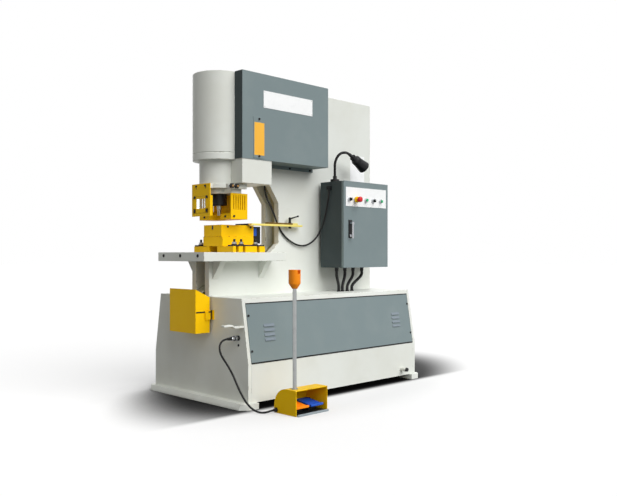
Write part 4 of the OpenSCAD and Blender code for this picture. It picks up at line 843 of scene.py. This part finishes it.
def door_fittings():
    """Chrome bezels, the yellow collar of the stop button and the handle's plate with its lock."""
    build = Build()
    face = span("control_plate")[0].y
    bezel = [
        (10.8, 0), (14.75, 0), (14.75, 3), (14, 3.8), (14, 10.6), (13.4, 12.8), (12.2, 14), (11.4, 13.6),
        (10.8, 12), (10.8, 0),
    ]
    for node in ("mode_selector", "start_button", "jog_selector", "run_button"):
        low, high = span(node)
        build.turn(chrome, ((low.x + high.x) / 2, face, CONTROL_Z), NEAR, bezel, 48)
    low, high = span("estop_head")
    at = ((low.x + high.x) / 2, face, CONTROL_Z)
    build.turn(chrome, at, NEAR, [(10.8, 0), (18, 0), (18, 7), (17, 8.6), (10.8, 8.6), (10.8, 0)], 48)
    build.turn(yellow, at, NEAR, [
        (10.8, 8.6), (20, 8.6), (21, 9.8), (21, 20), (20, 24.4), (17.4, 27.4), (14, 28), (10.8, 28),
        (10.8, 8.6),
    ], 48)
    x, y, z0, z1 = HANDLE_X, span("cabinet_door")[0].y, 1034, 1159
    # The handle's plate is dark, which also paints the handle's shadow on it.
    build.block(dark, (x - 17, y - 6, z0), (x + 17, y, z1), 2.6, 4)
    lock = [(9, 0), (9, 2.4), (8, 3.2), (5.4, 3.2), (5.4, 2.2), (0, 2.2)]
    build.turn(chrome, (x, y - 6, z0 + 14), NEAR, lock)
    # A black strip paints the shade in the lock's keyway.
    build.block(black, (x - 0.7, y - 8.5, z0 + 10.6), (x + 0.7, y - 8, z0 + 17.4), 0)
    build.stands_for("door_fittings")


def door_handle():
    """A swung handle on a round hub."""
    build = Build()
    low, high = span("door_handle")
    x, z = HANDLE_X, HANDLE_Z
    hub = [(0, 0), (6, 0), (6, 6.4), (11.4, 6.4), (12, 7.2), (12, 28), (10.8, 31), (7, 32), (0, 32)]
    build.turn(chrome, (x, high.y, z), NEAR, hub)
    build.block(chrome, (x - 7.5, low.y + 0.6, low.z), (x + 7.5, low.y + 9, z + 2), 3.6, 5)
    build.stands_for("door_handle")


def control_marks():
    """Small strokes beside the two selectors."""
    build = Build()
    face = span("control_plate")[0].y
    for node in ("mode_selector", "jog_selector"):
        low, high = span(node)
        middle = Matrix.Translation(mm((low.x + high.x) / 2, face, CONTROL_Z))
        for angle in (-45, 0, 45):
            place = middle @ Matrix.Rotation(math.radians(angle), 4, "Y")
            build.block(dark, (-0.5, -0.2, 18), (0.5, 0, 24), 0, place=place)
    build.done("control_marks", "door")


def door_seal():
    """A soft strip inside the door's rim."""
    build = Build()
    low, high = span("cabinet_door")
    sheet, strip = 3.2, 8
    x0, x1, z0, z1 = low.x + sheet, 665.8, low.z + sheet, high.z - sheet
    y0, y1 = low.y + sheet, -323
    for a, b in (
        ((x0, y0, z0), (x1, y1, z0 + strip)), ((x0, y0, z1 - strip), (x1, y1, z1)),
        ((x0, y0, z0), (x0 + strip, y1, z1)), ((x1 - strip, y0, z0), (x1, y1, z1)),
    ):
        build.block(rubber, a, b, 1)
    build.done("door_seal", "door")


def contactor_panel():
    """Back plate with contactors, a wire duct, terminals and wires."""
    build = Build()
    low, high = span("contactor_panel")
    back, face, inset = -127, -130, 40
    build.block(bright, (low.x, face, low.z), (high.x, back, high.z), 0.6)
    x0, x1 = low.x + inset, high.x - inset
    post = [(6, 0), (6, high.y - back), (0, high.y - back)]
    for x in (x0, x1):
        for z in (low.z + inset, high.z - inset):
            build.turn(bright, (x, back, z), FAR, post, 16)
    rail_z0, rail_z1, duct_z0, duct_z1 = 1232, 1249, 1090, 1136
    build.block(alloy, (x0, face - 5, rail_z0), (x1, face, rail_z1), 1)
    build.block(alloy, (x0, face - 40, duct_z0), (x1, face, duct_z1), 1.5)

    shares = [k / 12 for k in range(13)]
    terminals, terminal_z0, terminal_z1, screw_z = 16, 975, 1015, 1004
    pitch = (x1 - x0) / terminals
    screw = [(3.4, -1), (3.4, 0), (0, 0)]
    for i in range(terminals):
        x = x0 + pitch * i
        finish = green if i == terminals - 1 else white
        build.block(finish, (x + 0.5, face - 45, terminal_z0), (x + pitch - 0.5, face, terminal_z1), 1.5)
        build.turn(bright, (x + 10, face - 45, screw_z), NEAR, screw, 12)
        path = [(x + 10, face - 30 + 8 * math.sin(3 * t), terminal_z1 - 3 + 86 * t) for t in shares]
        build.sweep(WIRES[i % len(WIRES)], path, [1.9] * len(path), 8)

    contactors, contactor_pitch, wire_z = 4, 82, 1204
    case_y, case_z0, case_z1 = face - 58, 1200.6, 1280.6
    nose_z0, nose_z1, tag_z0, tag_z1 = 1218, 1263, 1244, 1254
    screw = [(3.6, -1), (3.6, 0.4), (0, 0.4)]
    for i in range(contactors):
        x = (x0 + x1) / 2 + (i - (contactors - 1) / 2) * contactor_pitch
        build.block(dark, (x - 24, case_y, case_z0), (x + 24, face, case_z1), 2)
        build.block(dark, (x - 21, low.y + 0.4, nose_z0), (x + 21, case_y + 8, nose_z1), 2.5, 3)
        build.block(white, (x - 14, low.y, tag_z0), (x + 14, low.y + 1, tag_z1), 0)
        for wire, wire_x in zip(WIRES, (x - 15, x, x + 15)):
            for z in (1208, 1273):
                build.turn(bright, (wire_x, case_y, z), NEAR, screw, 12)
            path = [(wire_x, face - 46 - 10 * math.sin(math.pi * t), wire_z - 76 * t) for t in shares]
            build.sweep(wire, path, [2.2] * len(path), 8)
    build.stands_for("contactor_panel")


GLAND_XS, GLAND_Y = (234.3, 321.2, 408.2, 504.8), -230
LEAD_XS, LEAD_Y = (237.1, 275.4, 325.8, 375.6), -248
FOOT_GLAND = (-738, -662, 18)
CONNECTOR = (END_X, -399, 417)


def cable_glands():
    """Cabinet glands and base grommets, the foot switch gland, the connector and the sensor's fittings."""
    build = Build()
    shell_z = span("cabinet_shell")[0].z
    for x in GLAND_XS:
        build.hexagon(dark, (x, GLAND_Y, shell_z), DOWN, 15, 9)
        build.turn(dark, (x, GLAND_Y, shell_z), DOWN, [
            (0, 8), (12.4, 8), (12.4, 11), (13, 11.6), (13, 20), (12.4, 23), (11.2, 27), (10.6, 30), (0, 30),
        ])
    base_z = span("base_shell")[1].z
    for x in LEAD_XS:
        build.turn(rubber, (x, LEAD_Y, base_z), UP, [
            (0, 0), (14, 0), (14, 3), (13, 4.6), (12, 5), (12, 8.6), (11.4, 11), (10.6, 12), (0, 12),
        ])
    build.hexagon(dark, FOOT_GLAND, PUNCH_END, 15, 7)
    build.turn(dark, FOOT_GLAND, PUNCH_END, [
        (0, 6), (12.4, 6), (12.4, 9), (11.6, 11), (9.4, 12.4), (8.8, 16), (7.8, 20), (6.8, 25), (0, 25),
    ])
    x, y, z = CONNECTOR
    build.hexagon(black, CONNECTOR, PUNCH_END, 17, 10, 1.2)
    build.turn(bright, CONNECTOR, PUNCH_END, [(0, 9), (12, 9), (12, 19), (0, 19)])
    build.hexagon(chrome, (x - 18, y, z), PUNCH_END, 17, 14, 1.2)
    build.turn(black, CONNECTOR, PUNCH_END, [(0, 31), (15.4, 31), (15.4, 35), (14.6, 36), (0, 36)])
    build.turn(chrome, CONNECTOR, PUNCH_END, [
        (0, 35), (12, 35), (13, 36), (13, 44), (12.2, 45), (12.2, 47), (13, 48), (13, 54), (12, 56), (0, 56),
    ])
    build.turn(rubber, CONNECTOR, PUNCH_END, [
        (0, 55), (10.6, 55), (10.6, 60), (9.2, 61.5), (9.8, 63), (9.8, 66), (8.6, 67.5), (9, 69), (9, 72),
        (7.9, 73.5), (8.2, 75), (8.2, 78), (7.2, 80), (6.6, 90), (0, 90),
    ])
    jaw_z = span("cable_glands")[1].z
    x, y, _ = SENSOR_ROUTE[0]
    build.turn(dark, (x + END_X, y, jaw_z), DOWN, [
        (0, 0), (13, 0), (13, 8), (11.4, 9), (11.4, 16), (9, 20), (7.4, 26), (6.8, 30), (0, 30),
    ])
    x, y, z = SENSOR_ROUTE[-1]
    x += END_X
    build.block(dark, (x - 14, y - 14, z), (x + 15, y + 14, z + 26), 3, 3)
    build.turn(dark, (x, y, z), UP, [(0, 0), (9, 0), (10, 1), (10, 6), (0, 6)], 24)
    build.stands_for("cable_glands")


def cabinet_leads():
    """Four thick leads from the cabinet's glands down into the base."""
    build = Build()
    low, high = span("cabinet_cables")
    rings, straight, radius = 36, 0.12, 10.4
    for x0, x1 in zip(GLAND_XS, LEAD_XS):
        path = []
        for i in range(rings + 1):
            t = i / rings
            u = min(max((t - straight) / (1 - 2 * straight), 0), 1)
            s = u * u * (3 - 2 * u)
            path.append((
                x0 + (x1 - x0) * s, GLAND_Y + (LEAD_Y - GLAND_Y) * s, high.z + (low.z - high.z) * t,
            ))
        build.sweep(rubber, path, [radius] * (rings + 1), 20)
    build.stands_for("cabinet_cables")


contactor_panel()
door_seal()
push_button("start_button", green)
push_button("run_button", green)
selector("mode_selector")
selector("jog_selector")
stop_button("estop_head", NEAR, foot=10.5, neck=42)
stop_button("pole_button", UP, foot=9, neck=28)
door_fittings()
door_handle()
control_marks()
cable_glands()
cabinet_leads()


# Lamp

LAMP_X, LAMP_Y, LAMP_Z = 216, -230, 1452.3
BALL = Vector((406.23, -230, 1622.87))
BEND_Z, BEND_R, LAMP_TURN = 1540.3, 110, math.radians(117)
LAMP_AXIS = (math.sin(LAMP_TURN), 0, math.cos(LAMP_TURN))


def lamp_base():
    """A stepped round foot."""
    build = Build()
    build.turn(dark, (LAMP_X, LAMP_Y, span("lamp_base")[0].z), UP, [
        (0, 0), (31.4, 0), (32, 0.8), (32, 14), (31, 16.4), (27, 17.6), (20, 18.6), (18, 20), (0, 20),
    ], 48)
    build.stands_for("lamp_base")


def lamp_neck():
    """A ribbed bendable neck between its ferrule and the ball."""
    build = Build()
    build.turn(dark, (LAMP_X, LAMP_Y, span("lamp_neck")[0].z), UP, [
        (0, 0), (10, 0), (10, 12), (13, 12), (14, 13), (14, 30), (12.4, 33), (11, 34), (0, 34),
    ])
    start = LAMP_Z + 20
    upright, arc, tail_l, rib = BEND_Z - start, BEND_R * LAMP_TURN, 18, 1.6
    path = []
    reach = 0
    while reach < upright + arc + tail_l:
        rise = min(reach, upright)
        turn = min(max(reach - upright, 0) / BEND_R, LAMP_TURN)
        tail = max(reach - upright - arc, 0)
        path.append((
            LAMP_X + BEND_R * (1 - math.cos(turn)) + tail * math.sin(LAMP_TURN), LAMP_Y,
            start + rise + BEND_R * math.sin(turn) + tail * math.cos(LAMP_TURN),
        ))
        reach += rib
    build.sweep(rubber, path, [9.4 if i % 3 else 8.2 for i in range(len(path))], 18)
    build.turn(dark, BALL, LAMP_AXIS, [
        (0, -40), (10.6, -40), (11.5, -39), (11.5, -18), (10.6, -15), (7, -14), (7, -9), (10, -6.6),
        (11.6, -3), (12, 0), (11.6, 3), (8.5, 8.5), (3, 11.6), (0, 12),
    ], 32)
    build.stands_for("lamp_neck")


def lamp_head():
    """A bell shade with cooling ribs, a white inside and a clear lens."""
    build = Build()
    build.turn(dark, BALL, LAMP_AXIS, [
        (12.6, -3.4), (19, -4), (22, -3.2), (23, -1.6), (23, 20), (24, 23), (30, 28), (34, 32), (35, 35),
        (35, 40), (33.2, 41), (33.2, 43), (35, 44), (35, 47), (33.2, 48), (33.2, 50), (35, 51), (35, 54),
        (33.2, 55), (33.2, 57), (35, 58), (35, 66), (36, 71), (44.2, 132), (45, 135), (45, 138), (42.4, 138),
        (42, 136), (42, 129),
    ], 48)
    build.turn(white, BALL, LAMP_AXIS, [(42, 129), (39, 104), (33, 80), (20, 66), (0, 62)], 48)
    build.turn(pane, BALL, LAMP_AXIS, [(0, 131), (41.9, 131), (41.9, 134), (0, 134)], 48)
    build.stands_for("lamp_head")


lamp_base()
lamp_neck()
lamp_head()


# Foot switch

PEDAL_PIN_Y, PEDAL_PIN_Z = -676, 48
TREAD_Y, TREAD_Z, TREAD_SLOPE = -684, 62, math.radians(8.3)


def pedal(node, finish):
    """A tread with grip ribs, a turned-down front and its hinge lugs."""
    build = Build()
    low, high = span(node)
    slope = Matrix.Translation(mm(0, TREAD_Y, TREAD_Z)) @ Matrix.Rotation(TREAD_SLOPE, 4, "X")
    build.block(finish, (low.x, -122, -10), (high.x, 8, 0), 3.4, 4, slope)
    build.block(finish, (low.x, low.y, low.z), (high.x, low.y + 9, low.z + 14), 2.6, 3)
    build.turn(finish, (low.x, PEDAL_PIN_Y, PEDAL_PIN_Z), BACK, [
        (5.4, 0), (10, 0), (11, 1), (11, 99), (10, 100), (5.4, 100), (5.4, 0),
    ], 32)
    y, z = PEDAL_PIN_Y, PEDAL_PIN_Z
    build.block(finish, (low.x + 2, y - 14, z - 4), (high.x - 2, y + 8, z + 10), 3, 3)
    for i in range(9):
        y = -114 + 11 * i
        build.block(finish, (low.x + 7, y, -2), (high.x - 7, y + 5, 1.8), 1.2, 2, slope)
    build.stands_for(node)


def spring_boxes_and_painted_shade():
    """A low dark box under each pedal, for its spring; its dark colour also paints the shade under the
    pedals.
    """
    build = Build()
    y0, y1, z0, z1 = -768, -702, SOLE_TOP - 0.5, SOLE_TOP + 12
    for node in ("pedal_left", "pedal_right"):
        low, high = span(node)
        build.block(dark, (low.x + 18, y0, z0), (high.x - 18, y1, z1), 2, 3)
    build.done("spring_boxes_and_painted_shade", "machine")


pedal("pedal_left", orange)
pedal("pedal_right", blue)
spring_boxes_and_painted_shade()


# Floor and light

SKY_LIGHT, LAMP_FAR = 0.24, 6
FLOOR_GLOW, FLOOR_BOUNCE, DEEP_SHADE = 0.5, 0.17, 0.002
# How far the painted contact shade reaches, and the painted shadow pool's middle, size, turn and front line.
SHADE_REACH = 1.1
PAINTED_POOL_MIDDLE, PAINTED_POOL_SIZE, PAINTED_POOL_TURN = (0.25, 0, 0), (1.75, 0.95, 1), math.radians(15)
PAINTED_POOL_FRONT = (-0.58, -0.5)


def seen_directly(nodes, links):
    """1 for a ray from the camera, from gloss or through glass, and 0 for scattered light."""
    path = nodes.new("ShaderNodeLightPath")
    total = path.outputs["Is Camera Ray"]
    for ray in ("Is Glossy Ray", "Is Transmission Ray"):
        either = nodes.new("ShaderNodeMath")
        either.operation = "MAXIMUM"
        links.new(total, either.inputs[0])
        links.new(path.outputs[ray], either.inputs[1])
        total = either.outputs[0]
    return total


def set_floor():
    """A wide floor that looks white, keeps the lamps' shadow and throws little light back up. Painted shade
    darkens its colour and glow by occlusion near the machine and in a soft painted shadow pool under and
    beside it, which ends in a line in front of it."""
    bm = bmesh.new()
    bmesh.ops.create_grid(bm, x_segments=1, y_segments=1, size=60)
    mesh = bpy.data.meshes.new("floor")
    bm.to_mesh(mesh)
    bm.free()
    floor = bpy.data.objects.new("floor", mesh)
    bpy.context.scene.collection.objects.link(floor)
    finish = Finish("floor", {"Roughness": 1.0, "Specular IOR Level": 0, "Emission Strength": 1.0})
    seen = Wire(finish, seen_directly(finish.nodes, finish.links))
    near = finish.node("ShaderNodeAmbientOcclusion", {"samples": 16}, {"Distance": SHADE_REACH}, output="AO")
    painted_pool = finish.node("ShaderNodeMapping", {"vector_type": "TEXTURE"}, {
        "Vector": finish.place, "Location": PAINTED_POOL_MIDDLE, "Rotation": (0, 0, PAINTED_POOL_TURN), "Scale": PAINTED_POOL_SIZE,
    })
    from_middle = finish.node("ShaderNodeVectorMath", {"operation": "LENGTH"}, {0: painted_pool}, "Value")
    away = finish.rise(from_middle, 0.7, 1.1)
    across = finish.node("ShaderNodeSeparateXYZ", inputs={"Vector": finish.place}, output="Y")
    # Painted shade: occlusion near the machine and the painted shadow pool darken the floor, much less in
    # front of a line.
    shade = 1 - (0.1 + 0.9 * away) * finish.rise(near * near, 0.06, 0.8)
    dim = shade * (0.12 + 0.88 * finish.rise(across, *PAINTED_POOL_FRONT))
    lit = finish.mix(dim, grey(1 - FLOOR_GLOW), grey(DEEP_SHADE))
    glow = finish.mix(dim, grey(FLOOR_GLOW), grey(DEEP_SHADE))
    finish.feed("Base Color", finish.mix(seen, grey(FLOOR_BOUNCE), lit))
    finish.feed("Emission Color", finish.mix(seen, grey(0), glow))
    mesh.materials.append(finish.material)


def set_world():
    """White where the camera, gloss or glass sees it, and a soft grey light otherwise."""
    world = bpy.data.worlds.new("world")
    bpy.context.scene.world = world
    world.use_nodes = True
    nodes, links = world.node_tree.nodes, world.node_tree.links
    sky = nodes["Background"]
    sky.inputs["Color"].default_value = grey(1)
    level = nodes.new("ShaderNodeMapRange")
    level.inputs["To Min"].default_value = SKY_LIGHT
    level.inputs["To Max"].default_value = 1
    links.new(seen_directly(nodes, links), level.inputs["Value"])
    links.new(level.outputs[0], sky.inputs["Strength"])


def add_lamp(name, towards, strength, spread, colour=(1, 1, 1)):
    """A soft far lamp; towards is the way to it from the machine."""
    data = bpy.data.lights.new(name, "SUN")
    data.energy = strength
    data.color = colour
    data.angle = math.radians(spread)
    lamp = bpy.data.objects.new(name, data)
    lamp.location = LAMP_FAR * Vector(towards)
    lamp.rotation_euler = Vector(towards).to_track_quat("Z", "Y").to_euler()
    bpy.context.scene.collection.objects.link(lamp)


set_floor()
set_world()
add_lamp("key", (0.06, -0.74, 0.66), strength=3.25, spread=60)
add_lamp("back", (0.5, 0.7, 0.5), strength=0.8, spread=60)
add_lamp("side", (-0.96, -0.2, 0.2), strength=0.17, spread=30, colour=(1, 0.96, 0.84))
bpy.context.scene.view_settings.view_transform = "Standard"
